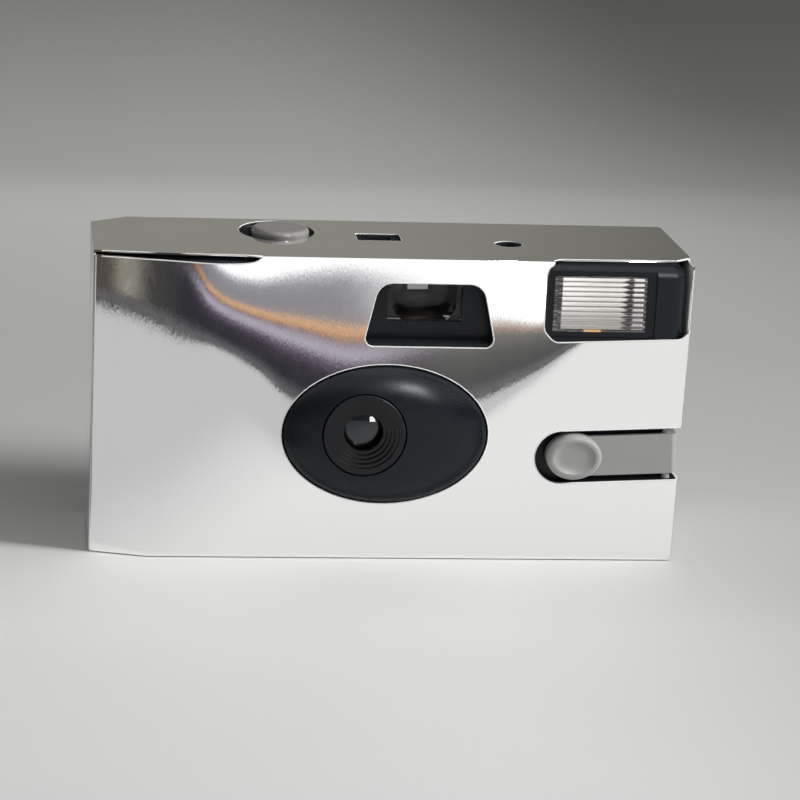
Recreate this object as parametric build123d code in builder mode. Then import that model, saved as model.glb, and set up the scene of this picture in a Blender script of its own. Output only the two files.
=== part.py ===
from build123d import *
import math
import os

# A single-use 35 mm flash camera in a folded foil-card sleeve, seen from the front:
# +X to the right, +Z up, and the lens looks along -Y. The origin is on the floor,
# under the middle of the camera. Sizes are in millimetres.

os.makedirs("parts", exist_ok=True)

# Driving dimensions of the sleeve and the plastic body
sleeve_width = 117.0
sleeve_depth = 34.0
sleeve_height = 61.0
card = 0.4
card_gap = 0.1
wall = 1.3
corner_radius = 2.5
edge_radius = 3.0

# Folds of the card where it is slack round the body
left_bend_low = 11.5
left_bend_high = 24.0
left_draw_low = 3.4
left_draw_high = 1.9
right_flare = 1.0
back_left_run = 7.4
back_left_draw = 5.4
fold_radius = 0.9

# Film and cartridge standard sizes
film_width = 35.0
film_thickness = 0.14
frame_width = 36.0
frame_height = 24.0
perforation_pitch = 4.75
perforation_length = 1.98
perforation_width = 2.79
perforation_margin = 2.01
cartridge_radius = 12.4
cartridge_height = 47.0
cap_rim = 0.3
cap_height = 1.6
shell_thickness = 0.3
spool_hub_radius = 5.5
roll_radius = 7.9
roll_core_radius = 3.0

# Clearances
running = 0.05
loose = 0.3
seat = 0.1

# Places measured from the ends of the body
cartridge_inset = 18.0
lens_inset = 53.7
back_standoff = 0.9
button_inset = 37.5
flash_inset = 17.2

# Lens
lens_height = 25.5
lens_radius = 4.8
lens_ring_radius = 8.2
boss_width = 40.4
boss_height = 27.8
boss_shift = 4.1
boss_proud = 0.9
boss_round = 1.3

# Viewfinder
finder_shift = 11.3
finder_width = 14.8
finder_height = 9.0
finder_wall = 1.0
eyepiece_width = 10.0
eyepiece_height = 7.0
finder_bay_bottom = 26.2
finder_bay_top = 20.4
finder_bay_height = 13.2

# Thumbwheel
wheel_radius = 15.6
wheel_thickness = 5.0
wheel_teeth = 60
tooth_depth = 0.5
wheel_pin_radius = 2.0
wheel_hub_radius = 4.5

# Shutter button
button_radius = 5.75
button_rise = 1.3
button_travel = 1.5
stem_radius = 1.6

# Counter disc
counter_radius = 8.6
counter_thickness = 0.9
counter_notches = 36

# Flash
window_width = 18.4
window_height = 11.2
window_thickness = 1.6
window_ribs = 11
tube_radius = 1.4

# Flash switch
pad_inset = 21.4
pad_height = 21.3
pad_width = 11.0
pad_tall = 9.0
pad_proud = 2.2
band_height = 8.1
band_thickness = 1.2
slot_height = 10.7
slot_lead = 7.7
switch_tilt = 2.5
switch_travel = 2.2
pivot_radius = 0.8
knuckle_radius = 1.1

# Battery, a standard 10.5 by 44.5 mm cell
battery_radius = 5.25
battery_length = 44.5

# Body box worked out from the sleeve
body_width = sleeve_width - 2 * (card + card_gap)
body_depth = sleeve_depth - 2 * (card + card_gap)
body_left = -body_width / 2
body_right = body_width / 2
body_front = -body_depth / 2
body_back = body_depth / 2
body_bottom = card + card_gap
body_top = sleeve_height - card - card_gap
floor_in = body_bottom + wall
roof_in = body_top - wall
front_in = body_front + wall
back_in = body_back - wall
parting_y = body_back - 5.0

# Film path
film_y = back_in - back_standoff
cartridge_x = body_left + cartridge_inset - 0.5
cartridge_y = film_y - cartridge_radius + loose
cartridge_bottom = lens_height - cartridge_height / 2
cartridge_top = lens_height + cartridge_height / 2
film_bottom = lens_height - film_width / 2
film_top = lens_height + film_width / 2
lens_x = body_left + lens_inset - 0.5
gate_left = lens_x - frame_width / 2
gate_right = lens_x + frame_width / 2
roll_bay_radius = roll_radius + 1.1
roll_x = gate_right + roll_bay_radius + 5.8
roll_y = film_y - roll_radius - seat

# Levels of the chassis
chassis_wall = 1.2
deck_bottom = film_top + 0.9
deck_top = deck_bottom + chassis_wall
wheel_deck_bottom = cartridge_top + 0.4
wheel_deck_top = wheel_deck_bottom + chassis_wall
wheel_bottom = wheel_deck_top + loose
wheel_top = wheel_bottom + wheel_thickness
thumb_half = math.sqrt((wheel_radius + 1.2) ** 2 - (back_in - cartridge_y) ** 2)
tunnel_front = front_in + 4.9
blade_space = 0.9
board_back = tunnel_front - blade_space
board_front = board_back - 3.3

# Mechanism places
teeth_on_sprocket = 8
sprocket_radius = perforation_pitch * teeth_on_sprocket / (2 * math.pi) - 0.2
sprocket_x = lens_x - 8.7
sprocket_y = film_y - sprocket_radius - seat
perforation_z = film_top - perforation_margin - perforation_width / 2
button_x = body_left + button_inset - 0.5
button_y = 4.5
counter_x = sprocket_x + 6.5
counter_y = sprocket_y - 8.4
counter_bottom = roof_in - 1.6
finder_x = lens_x + finder_shift
finder_left = finder_x - finder_width / 2
finder_right = finder_x + finder_width / 2
finder_top = counter_bottom - loose - 0.7
finder_bottom = finder_top - finder_height
finder_z = (finder_top + finder_bottom) / 2
finder_front = front_in + 3.2
cover_bottom = counter_bottom - 3.0
cover_top = cover_bottom + chassis_wall

# Flash and board places
window_x = body_right - flash_inset
window_z = body_top - 8.1
window_left = window_x - window_width / 2
window_bottom = window_z - window_height / 2
board_y = roll_y - roll_bay_radius - chassis_wall - 0.5
board_thickness = 1.2
circuit_front = board_y - board_thickness
circuit_left = roll_x - 6.5
circuit_right = body_right - 4.4
lamp_x = window_x - 16.6
lamp_y = -1.8

battery_x = lens_x + 2.3
battery_y = front_in + battery_radius + 0.75
battery_z = floor_in + battery_radius + 0.15

pad_x = body_right - pad_inset + 0.5
switch_angle = math.radians(switch_tilt)
switch_face = Plane(
    origin=(pad_x, 0, pad_height),
    x_dir=(math.cos(switch_angle), 0, math.sin(switch_angle)),
    z_dir=(0, -1, 0),
)
switch_end = (body_right - pad_x) / math.cos(switch_angle)
pivot_u = switch_end - 1.9
pivot_y = body_front + 1.35
switch_plan = Plane(origin=(pad_x, 0, pad_height), x_dir=switch_face.x_dir, z_dir=switch_face.y_dir)
switch_pin = Plane(origin=switch_plan.from_local_coords((pivot_u, pivot_y, 0)), z_dir=switch_face.y_dir)


def block(x_low, x_high, y_low, y_high, z_low, z_high, mode=Mode.ADD):
    """A box given by its lowest and highest corners."""
    middle = ((x_low + x_high) / 2, (y_low + y_high) / 2, (z_low + z_high) / 2)
    with Locations(middle):
        Box(x_high - x_low, y_high - y_low, z_high - z_low, mode=mode)


def upright(x, y, z_low, z_high, radius, mode=Mode.ADD):
    """A cylinder that stands along Z."""
    with Locations((x, y, z_low)):
        Cylinder(radius, z_high - z_low, align=(Align.CENTER, Align.CENTER, Align.MIN), mode=mode)


def along_y(x, z, y_low, y_high, radius, mode=Mode.ADD):
    """A cylinder that lies along Y."""
    with BuildSketch(Plane.XZ.offset(-y_high)) as end:
        with Locations((x, z)):
            Circle(radius)
    extrude(end.sketch, amount=y_high - y_low, mode=mode)


def along_x(y, z, x_low, x_high, radius, mode=Mode.ADD):
    """A cylinder that lies along X."""
    with BuildSketch(Plane.YZ.offset(x_low)) as end:
        with Locations((y, z)):
            Circle(radius)
    extrude(end.sketch, amount=x_high - x_low, mode=mode)


def bar(x_start, y_start, x_end, y_end, z_low, z_high, width, mode=Mode.ADD):
    """A flat arm with round ends, from one point of the plan to another."""
    reach = math.hypot(x_end - x_start, y_end - y_start)
    turn = math.degrees(math.atan2(y_end - y_start, x_end - x_start))
    with BuildSketch(Plane.XY.offset(z_low)) as outline:
        with Locations(Location(((x_start + x_end) / 2, (y_start + y_end) / 2, 0), (0, 0, turn))):
            SlotCenterToCenter(reach, width)
    extrude(outline.sketch, amount=z_high - z_low, mode=mode)


def coil(start, turns, pitch, radius, wire, direction=(0, 0, 1)):
    """A round wire wound on a helix that climbs along the direction."""
    with BuildLine() as path:
        Helix(pitch=pitch, height=pitch * turns, radius=radius, center=start, direction=direction)
    with BuildSketch(Plane(origin=path.line @ 0, z_dir=path.line % 0)) as end:
        Circle(wire / 2)
    sweep(end.sketch, path=path.line)


def body_solid(inset):
    """The plastic body as one solid, drawn in by inset on every side."""
    corners = [
        (body_left + 32, body_front),
        (body_right, body_front),
        (body_right, body_back),
        (body_left + 7, body_back),
        (body_left, body_back - 5.2),
        (body_left, body_front + 5.5),
        (body_left + 2.2, body_front + 3.1),
        (body_left + 12, body_front + 1.3),
    ]
    with BuildPart() as solid:
        with BuildSketch(Plane.XY.offset(body_bottom + inset)) as plan:
            with BuildLine():
                Polyline(*corners, close=True)
            make_face()
            fillet(plan.vertices().group_by(Axis.X)[-1], corner_radius)
            fillet(plan.vertices().group_by(Axis.X)[0], 1.5)
            offset(amount=-inset)
        extrude(amount=body_top - body_bottom - 2 * inset)
        rims = solid.faces().sort_by(Axis.Z)
        fillet(rims[-1].edges() + rims[0].edges(), edge_radius - inset)
    return solid.part


# Plan corners of the sleeve at one level, from the front left, going round
def sleeve_corners(bend, draw, flare, inset):
    left = -sleeve_width / 2
    front = -sleeve_depth / 2
    right = sleeve_width / 2
    back = sleeve_depth / 2
    slope = math.atan2(draw, bend)
    chamfer_slope = math.atan2(back_left_draw, back_left_run)
    lean = math.tan(slope / 2)
    return [
        (left + bend + inset * lean, front + inset),
        (right + flare - inset, front + inset),
        (right - inset, back - inset),
        (left + back_left_run + inset * math.tan(chamfer_slope / 2), back - inset),
        (left + inset, back - back_left_draw - inset * math.tan((math.pi / 2 - chamfer_slope) / 2)),
        (left + inset, front + draw + inset * math.tan((math.pi / 2 - slope) / 2)),
    ]


def sleeve_block(inset):
    """The outside, or with an inset the inside, of the folded card box."""
    with BuildPart() as solid:
        for level, bend, draw, flare in [
            (inset, left_bend_low, left_draw_low, 0),
            (sleeve_height - inset, left_bend_high, left_draw_high, right_flare),
        ]:
            with BuildSketch(Plane.XY.offset(level)) as plan:
                with BuildLine():
                    Polyline(*sleeve_corners(bend, draw, flare, inset), close=True)
                make_face()
                fillet(plan.vertices(), fold_radius - inset)
        loft(ruled=True)
    return solid.part


sleeve_outside = sleeve_block(0)
sleeve_inside = sleeve_block(card)

# Slit at the top left, where the front panel and the top panel aren't joined
slit_end = -sleeve_width / 2 + 32.5
slit_left = -sleeve_width / 2 - 2.5
slit_drop = 1.7
with BuildPart() as slit_cutter:
    # The front panel's edge sags in the middle of the slit
    with BuildSketch(Plane.XZ.offset(sleeve_depth / 2 - 5)):
        with BuildLine():
            sag = Spline(
                (slit_end - 1.3, sleeve_height - 1.2),
                (slit_end - 4.0, sleeve_height - slit_drop + 0.1),
                (slit_end - 9.0, sleeve_height - slit_drop),
                (slit_end - 18.5, sleeve_height - slit_drop + 0.4),
                (slit_left, sleeve_height - 0.8),
            )
            Polyline(
                sag @ 1,
                (slit_left, sleeve_height + 1),
                (slit_end + 0.3, sleeve_height + 1),
                (slit_end, sleeve_height - 0.2),
                sag @ 0,
            )
        make_face()
    extrude(amount=8)
    # The top panel's edge stands back, and further towards the left end
    with BuildSketch(Plane.XY.offset(sleeve_height - 3)):
        with BuildLine():
            edge = Spline(
                (slit_end + 0.4, -sleeve_depth / 2 + 0.5),
                (slit_end - 3.5, -sleeve_depth / 2 + 1.3),
                (slit_end - 13.3, -sleeve_depth / 2 + 1.6),
                (slit_end - 24.2, -sleeve_depth / 2 + 2.4),
                (slit_left, -sleeve_depth / 2 + 3.6),
            )
            Polyline(
                edge @ 1,
                (slit_left, -sleeve_depth / 2 - 4),
                (slit_end + 0.4, -sleeve_depth / 2 - 4),
                edge @ 0,
            )
        make_face()
    extrude(amount=5, mode=Mode.INTERSECT)

# Openings in the front panel
finder_card_bottom = finder_z - 8.7
finder_card_top = finder_z + 4.0
flash_card_bottom = window_bottom - 2.1
flash_card_rise = 1.0
flash_card_left = window_left - 1.8

with BuildPart() as card_sleeve:
    add(sleeve_outside)
    add(sleeve_inside, mode=Mode.SUBTRACT)
    add(slit_cutter.part, mode=Mode.SUBTRACT)
    # Oval window round the lens boss
    with BuildSketch(Plane.XZ.offset(body_depth / 2 - 2)):
        with Locations((lens_x + boss_shift, lens_height)):
            Ellipse(boss_width / 2 + loose, boss_height / 2 + loose)
    extrude(amount=5, mode=Mode.SUBTRACT)
    # Trapezoid window in front of the finder
    with BuildSketch(Plane.XZ.offset(body_depth / 2 - 2)) as finder_window:
        with BuildLine():
            Polyline(
                (finder_x + 0.7 - finder_bay_bottom / 2, finder_card_bottom),
                (finder_x + 0.7 + finder_bay_bottom / 2, finder_card_bottom),
                (finder_x + 0.7 + finder_bay_top / 2, finder_card_top),
                (finder_x + 0.7 - finder_bay_top / 2, finder_card_top),
                close=True,
            )
        make_face()
        fillet(finder_window.vertices().group_by(Axis.Y)[-1], 3.4)
        fillet(finder_window.vertices().group_by(Axis.Y)[0], 1.7)
    extrude(amount=5, mode=Mode.SUBTRACT)
    # Flash window, which reaches the right end and goes over the top edge
    with BuildSketch(Plane.XZ.offset(sleeve_depth / 2 - 1.7)):
        with BuildLine():
            Polyline(
                (flash_card_left + 2.2, flash_card_bottom),
                (sleeve_width / 2 - 1.2, flash_card_bottom + flash_card_rise),
                (sleeve_width / 2 + 0.3, flash_card_bottom + flash_card_rise + 1.4),
                (sleeve_width / 2 + 4, flash_card_bottom + flash_card_rise + 1.4),
                (sleeve_width / 2 + 4, sleeve_height - card),
                (flash_card_left + 1.8, sleeve_height - card),
                (flash_card_left + 0.5, sleeve_height - 1.3),
                (flash_card_left, sleeve_height - 2.6),
                (flash_card_left, flash_card_bottom + 2.3),
                close=True,
            )
        make_face()
    extrude(amount=12, mode=Mode.SUBTRACT)
    with BuildSketch(Plane.XY.offset(sleeve_height - 1)):
        with BuildLine():
            Polyline(
                (flash_card_left + 1.4, -sleeve_depth / 2 - 1),
                (flash_card_left + 1.4, -sleeve_depth / 2 + 1.6),
                (flash_card_left + 3.0, -sleeve_depth / 2 + 2.6),
                (sleeve_width / 2 - 2.6, -sleeve_depth / 2 + 3.2),
                (sleeve_width / 2 + 0.3, -sleeve_depth / 2 + 5.6),
                (sleeve_width / 2 + 3, -9.0),
                (sleeve_width / 2 + 3, -sleeve_depth / 2 - 1),
                close=True,
            )
        make_face()
    extrude(amount=3, mode=Mode.SUBTRACT)
    # Slot over the flash switch, open round the right end
    with BuildSketch(switch_face.offset(body_depth / 2 - 2)):
        with Locations((slot_height / 2 - slot_lead, 0)):
            Circle(slot_height / 2)
        with Locations((slot_height / 2 - slot_lead, 0)):
            Rectangle(40, slot_height, align=(Align.MIN, Align.CENTER))
    extrude(amount=5, mode=Mode.SUBTRACT)
    with BuildSketch(switch_face.offset(4.6)):
        with Locations((switch_end - 1.5, 0)):
            Rectangle(6, slot_height, align=(Align.MIN, Align.CENTER))
    extrude(amount=16, mode=Mode.SUBTRACT)
    # Holes in the top panel
    with BuildSketch(Plane.XY.offset(sleeve_height - 1)):
        with Locations((button_x - 0.6, button_y + 2)):
            Ellipse(7.6, 9.3)
        with Locations((counter_x + 5.5, counter_y + 2.3)):
            RectangleRounded(8.8, 6.4, 0.6)
        with Locations((lamp_x, lamp_y)):
            Circle(2.8)
    extrude(amount=2, mode=Mode.SUBTRACT)
    # Openings in the back panel, for the thumb and the eye
    with BuildSketch(Plane.XZ.offset(-body_back - 2)):
        with Locations((cartridge_x, (wheel_bottom + wheel_top) / 2)):
            RectangleRounded(2 * thumb_half + 3.2, wheel_thickness + 3.4, 2.5)
        with Locations((finder_x, finder_z)):
            RectangleRounded(eyepiece_width + 3, eyepiece_height + 3, 2)
    extrude(amount=3, mode=Mode.SUBTRACT)
card_sleeve.part.label = "card_sleeve"
export_step(card_sleeve.part, "parts/card_sleeve.step")

# Front cover: the black front shell, with the roof of the camera
boss_x = lens_x + boss_shift
bay_x = finder_x + 0.7
bay_back = finder_front - 0.1
bay_wall = 1.0
window_recess = 0.5
pocket_floor = body_front + 2.2
pocket_back = pocket_floor + 1.2
ring_hole = lens_ring_radius + 0.25
pipe_hole_radius = 2.2
peg_radius = 1.3


def finder_bay(grow, y_front, y_back, mode):
    """The tapered bay in front of the finder, grown outwards, between two depths."""
    with BuildSketch(Plane.XZ.offset(-y_back)) as bay:
        with BuildLine():
            Polyline(
                (bay_x - finder_bay_bottom / 2 - grow, finder_card_bottom + 0.6 - grow),
                (bay_x + finder_bay_bottom / 2 + grow, finder_card_bottom + 0.6 - grow),
                (bay_x + finder_bay_top / 2 + grow, finder_card_bottom + 0.6 + finder_bay_height + grow),
                (bay_x - finder_bay_top / 2 - grow, finder_card_bottom + 0.6 + finder_bay_height + grow),
                close=True,
            )
        make_face()
        fillet(bay.vertices(), 1.2 + grow)
    extrude(bay.sketch, amount=y_back - y_front, mode=mode)


def switch_box(u_low, u_high, half, y_low, y_high, mode=Mode.ADD):
    """A box square to the tilted flash switch, between two depths."""
    with BuildSketch(switch_face.offset(-y_high)) as end:
        with Locations((u_low, 0)):
            Rectangle(u_high - u_low, 2 * half, align=(Align.MIN, Align.CENTER))
    extrude(end.sketch, amount=y_high - y_low, mode=mode)


with BuildPart() as front_cover:
    add(body_solid(0))
    add(body_solid(wall), mode=Mode.SUBTRACT)
    split(bisect_by=Plane.XZ.offset(-parting_y), keep=Keep.TOP)
    # Oval boss round the lens, with a rounded edge
    with BuildSketch(Plane.XZ.offset(-front_in)):
        with Locations((boss_x, lens_height)):
            Ellipse(boss_width / 2, boss_height / 2)
    extrude(amount=wall + card + card_gap + boss_proud)
    fillet(front_cover.faces().sort_by(Axis.Y)[0].edges(), boss_round)
    along_y(lens_x, lens_height, body_front - 3, front_in + 1, ring_hole, Mode.SUBTRACT)
    # Bay in front of the finder, with a window in its back wall
    finder_bay(bay_wall, front_in - 0.5, bay_back, Mode.ADD)
    finder_bay(0, body_front - 1, bay_back - bay_wall, Mode.SUBTRACT)
    block(finder_left, finder_right, bay_back - 2, bay_back + 1, finder_bottom, finder_top, Mode.SUBTRACT)
    # Flash opening in a shallow recess
    block(window_left - 1.2, window_left + window_width + 2.0, body_front - 1, body_front + window_recess,
          window_bottom - 1.2, window_bottom + window_height + 1.0, Mode.SUBTRACT)
    block(window_left - seat, window_left + window_width + seat, body_front - 1, front_in + 2,
          window_bottom - seat, window_bottom + window_height + seat, Mode.SUBTRACT)
    # Pocket for the flash switch, round the right end
    switch_box(-slot_lead - 1.2, switch_end - wall, slot_height / 2 + 1.2, front_in - 0.2, pocket_back)
    switch_box(switch_end - 3.8, switch_end - 0.8, slot_height / 2 + 1.2, pocket_back - 0.2, -3.4)
    with BuildSketch(switch_face.offset(-pocket_floor)):
        with Locations((slot_height / 2 - slot_lead, 0)):
            Circle(slot_height / 2)
            Rectangle(40, slot_height, align=(Align.MIN, Align.CENTER))
    extrude(amount=5, mode=Mode.SUBTRACT)
    switch_box(switch_end - 2.4, switch_end + 4, slot_height / 2, pocket_floor - 0.2, -4.6, Mode.SUBTRACT)
    along_y(pad_x, pad_height, pocket_floor - 0.5, pocket_back + 0.5, peg_radius + 0.6, Mode.SUBTRACT)
    with Locations(switch_pin):
        Cylinder(pivot_radius + running, slot_height + 1.6, mode=Mode.SUBTRACT)
        Cylinder(knuckle_radius + loose, band_height + 2 * loose, mode=Mode.SUBTRACT)
    # Holes in the roof, for the button, the counter window and the charge lamp
    upright(button_x, button_y, roof_in - 1, body_top + 1, button_radius + loose, Mode.SUBTRACT)
    block(counter_x + 2.2, counter_x + 8.0, counter_y - 0.2, counter_y + 4.8, roof_in - 1, body_top + 1,
          Mode.SUBTRACT)
    upright(lamp_x, lamp_y, roof_in - 1, body_top + 1, pipe_hole_radius, Mode.SUBTRACT)
    # Bush under the roof for the top pin of the thumbwheel
    upright(cartridge_x, cartridge_y, wheel_top + 0.6, roof_in + 0.2, 3.4)
    upright(cartridge_x, cartridge_y, wheel_top, roof_in - 0.4, wheel_pin_radius + running, Mode.SUBTRACT)
front_cover.part.label = "front_cover"
export_step(front_cover.part, "parts/front_cover.step")

# Rear cover: the shallow back shell, with the thumb opening, the eyepiece and film ribs
with BuildPart() as rear_cover:
    add(body_solid(0))
    add(body_solid(wall), mode=Mode.SUBTRACT)
    split(bisect_by=Plane.XZ.offset(-parting_y), keep=Keep.BOTTOM)
    block(cartridge_x - thumb_half, cartridge_x + thumb_half, back_in - 1, body_back + 1,
          wheel_bottom - 0.6, wheel_top + 0.6, Mode.SUBTRACT)
    block(finder_x - eyepiece_width / 2, finder_x + eyepiece_width / 2, back_in - 1, body_back + 1,
          finder_z - eyepiece_height / 2, finder_z + eyepiece_height / 2, Mode.SUBTRACT)
    for rib_z in (film_bottom + 3.5, lens_height - 5, lens_height + 5, film_top - 5.6):
        block(gate_left, gate_right, back_in - 0.5, back_in + 0.2, rib_z - 0.5, rib_z + 0.5)
    # Relief in the corner below for the rim of the cartridge
    upright(cartridge_x, cartridge_y, floor_in, cartridge_bottom + cap_height + seat,
            cartridge_radius + cap_rim + seat, Mode.SUBTRACT)
rear_cover.part.label = "rear_cover"
export_step(rear_cover.part, "parts/rear_cover.step")

# Chassis: cartridge bay, light tunnel, film gate, roll bay, decks and battery tray
bay_radius = cartridge_radius + cap_rim + 0.4
gate_back = film_y - seat
gate_front = gate_back - chassis_wall
gate_frame_left = cartridge_x + bay_radius
gate_frame_right = roll_x - roll_bay_radius
tray_left = battery_x - battery_length / 2 - 1.3
tray_right = battery_x + battery_length / 2 + 1.3
tray_back = battery_y + battery_radius + 0.7
plate_left = lens_x - 12.2
plate_right = lens_x + 11.8
plate_bottom = battery_z + battery_radius + 1.6
plate_top = finder_card_bottom + 0.6 - bay_wall - 0.4
blade_pin_x = lens_x + 1.8
blade_pin_z = lens_height + 10.5
metering_x = sprocket_x - 6.0
metering_y = sprocket_y - 15.9
striker_x = sprocket_x + 2.5
striker_y = metering_y + 3.0
pawl_x = cartridge_x + 16.0
pawl_y = cartridge_y - 13.2
pin_radius = 1.0
shaft_radius = 1.5


def half_bay(x, y, radius, z_low, z_high, y_limit):
    """A wall round a film bay, open at the back."""
    with BuildSketch(Plane.XY.offset(z_low)) as ring:
        with Locations((x, y)):
            Circle(radius + chassis_wall)
            Circle(radius, mode=Mode.SUBTRACT)
        with Locations((x, y + y_limit)):
            Rectangle(4 * radius, 4 * radius, align=(Align.CENTER, Align.MIN), mode=Mode.SUBTRACT)
    extrude(ring.sketch, amount=z_high - z_low)


with BuildPart() as frame_envelope:
    block(body_left, body_right, front_in + seat, back_in - seat, floor_in, roof_in)
    fillet(frame_envelope.edges().filter_by(Axis.X), edge_radius - wall)

with BuildPart() as chassis:
    half_bay(cartridge_x, cartridge_y, bay_radius, floor_in, wheel_deck_bottom, 5.0)
    half_bay(roll_x, roll_y, roll_bay_radius, floor_in, deck_bottom, 3.0)
    block(gate_frame_left, gate_frame_left + chassis_wall, cartridge_y, gate_back, floor_in,
          wheel_deck_bottom)
    block(gate_frame_right - chassis_wall, gate_frame_right, roll_y, gate_back, floor_in, deck_top)
    # Film gate
    block(gate_frame_left, gate_frame_right, gate_front, gate_back, floor_in, deck_top)
    # Light tunnel, narrowing to the lens
    with BuildSketch(Plane.XZ.offset(-gate_back)):
        with Locations((lens_x, lens_height)):
            Rectangle(frame_width + 2, frame_height + 2)
    with BuildSketch(Plane.XZ.offset(-tunnel_front)):
        with Locations((lens_x, lens_height)):
            Rectangle(13, 11)
    loft()
    # Plate in front of the tunnel, which carries the shutter
    block(plate_left, plate_right, tunnel_front, tunnel_front + chassis_wall, plate_bottom, deck_top)
    # Decks over the tunnel, the film roll and the cartridge
    block(gate_frame_left, gate_frame_right, tunnel_front + chassis_wall, gate_back, deck_bottom, deck_top)
    upright(roll_x, roll_y, deck_bottom, deck_top, roll_bay_radius + chassis_wall)
    upright(roll_x, roll_y, floor_in, floor_in + chassis_wall, roll_bay_radius + chassis_wall)
    block(gate_frame_left, gate_frame_left + chassis_wall, tunnel_front + 3, gate_back, deck_bottom,
          wheel_deck_bottom + 0.1)
    with BuildSketch(Plane.XY.offset(wheel_deck_bottom)):
        with Locations((cartridge_x, cartridge_y)):
            Circle(bay_radius + chassis_wall)
        with BuildLine():
            Polyline(
                (cartridge_x, cartridge_y - 12),
                (pawl_x + 2.2, pawl_y - 2.2),
                (pawl_x + 2.2, cartridge_y - 4),
                (cartridge_x, cartridge_y),
                close=True,
            )
        make_face()
    extrude(amount=chassis_wall)
    # Floor between the bays, and the battery tray in front of it
    block(gate_frame_left, gate_frame_right, tray_back - 0.1, gate_back, floor_in, floor_in + chassis_wall)
    block(tray_left - 1.0, tray_right + 1.0, front_in + 0.2, tray_back, floor_in, battery_z + 1.5)
    along_x(battery_y, battery_z, tray_left, tray_right, battery_radius + 0.1, Mode.SUBTRACT)
    block(tray_left, tray_right, battery_y - battery_radius - 0.1, battery_y + battery_radius + 0.1,
          battery_z, battery_z + 3, Mode.SUBTRACT)
    # Inside of the tunnel, the gate opening and the exposure hole
    with BuildSketch(Plane.XZ.offset(-gate_back)):
        with Locations((lens_x, lens_height)):
            Rectangle(frame_width, frame_height)
    with BuildSketch(Plane.XZ.offset(-tunnel_front - chassis_wall)):
        with Locations((lens_x, lens_height)):
            Rectangle(11, 9)
    loft(mode=Mode.SUBTRACT)
    along_y(lens_x, lens_height, tunnel_front - 1, tunnel_front + 2, 2.0, Mode.SUBTRACT)
    # Slot for the sprocket, and bores for the shafts
    upright(sprocket_x, sprocket_y, perforation_z - 1.2, perforation_z + 1.5, sprocket_radius + 1.5,
            Mode.SUBTRACT)
    upright(sprocket_x, sprocket_y, deck_bottom - 1, deck_top + 1, shaft_radius + running, Mode.SUBTRACT)
    upright(cartridge_x, cartridge_y, wheel_deck_bottom - 1, wheel_deck_top + 1, wheel_hub_radius + running,
            Mode.SUBTRACT)
    upright(roll_x, roll_y, deck_bottom - 1, deck_top + 1, shaft_radius + running, Mode.SUBTRACT)
    upright(roll_x, roll_y, floor_in - 1, floor_in + chassis_wall + 1, shaft_radius + running, Mode.SUBTRACT)
    # Pins for the shutter blade, the levers and the pawl
    along_y(blade_pin_x, blade_pin_z, board_back - 1.2, tunnel_front + 0.1, pin_radius)
    upright(metering_x, metering_y, deck_top - 0.1, cover_bottom - 0.6, pin_radius)
    upright(striker_x, striker_y, deck_top - 0.1, cover_bottom - 0.6, pin_radius)
    upright(pawl_x, pawl_y, wheel_deck_top - 0.1, wheel_top, pin_radius)
    # The whole frame fits inside the shells
    add(frame_envelope.part, mode=Mode.INTERSECT)
chassis.part.label = "chassis"
export_step(chassis.part, "parts/chassis.step")

# Lens board: holds the lens in front of the shutter blade
lens_seat_back = board_front + 2.3
spring_recess_radius = 2.4

with BuildPart() as lens_board:
    block(plate_left, plate_right, board_front, board_back, plate_bottom, plate_top)
    block(plate_left, plate_left + chassis_wall, board_back, tunnel_front, plate_bottom, plate_top)
    block(plate_right - chassis_wall, plate_right, board_back, tunnel_front, plate_bottom, plate_top)
    along_y(lens_x, lens_height, board_front - 1, lens_seat_back, lens_radius + running, Mode.SUBTRACT)
    along_y(lens_x, lens_height, board_front - 1, board_back + 1, lens_radius - 1.4, Mode.SUBTRACT)
    along_y(blade_pin_x, blade_pin_z, board_back - 1.6, board_back + 1, spring_recess_radius, Mode.SUBTRACT)
lens_board.part.label = "lens_board"
export_step(lens_board.part, "parts/lens_board.step")

# Lens: one plastic meniscus
lens_crest = board_front + 0.1
lens_front_sag = 0.8
lens_back_sag = 0.6
lens_front_sphere = (lens_radius**2 + lens_front_sag**2) / (2 * lens_front_sag)
lens_back_sphere = (lens_radius**2 + lens_back_sag**2) / (2 * lens_back_sag)
with BuildPart() as lens:
    along_y(lens_x, lens_height, lens_crest, lens_seat_back, lens_radius)
    with Locations((lens_x, lens_crest + lens_front_sphere, lens_height)):
        Sphere(lens_front_sphere, mode=Mode.INTERSECT)
    with Locations((lens_x, lens_seat_back - lens_back_sag + lens_back_sphere, lens_height)):
        Sphere(lens_back_sphere, mode=Mode.SUBTRACT)
lens.part.label = "lens"
export_step(lens.part, "parts/lens.step")

# Lens ring: flush with the boss, stepped down to the lens
boss_face = body_front - card - card_gap - boss_proud
ring_flange = 1.5
ring_tube_radius = 6.6
ring_mouth_radius = 6.9
ring_exit_radius = 3.9
ring_steps = 4
step_depth = (board_front - 0.5 - boss_face) / (ring_steps + 1)
step_width = (ring_mouth_radius - ring_exit_radius) / ring_steps
with BuildPart() as lens_ring:
    along_y(lens_x, lens_height, boss_face, boss_face + ring_flange, lens_ring_radius)
    fillet(lens_ring.faces().sort_by(Axis.Y)[0].edges(), 0.25)
    along_y(lens_x, lens_height, boss_face + ring_flange, board_front, ring_tube_radius)
    for step in range(ring_steps + 1):
        along_y(lens_x, lens_height, boss_face - 1, boss_face + (step + 0.4) * step_depth + 0.2,
                ring_mouth_radius - step * step_width, Mode.SUBTRACT)
    along_y(lens_x, lens_height, boss_face - 1, board_front + 1, ring_exit_radius, Mode.SUBTRACT)
lens_ring.part.label = "lens_ring"
export_step(lens_ring.part, "parts/lens_ring.step")

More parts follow.
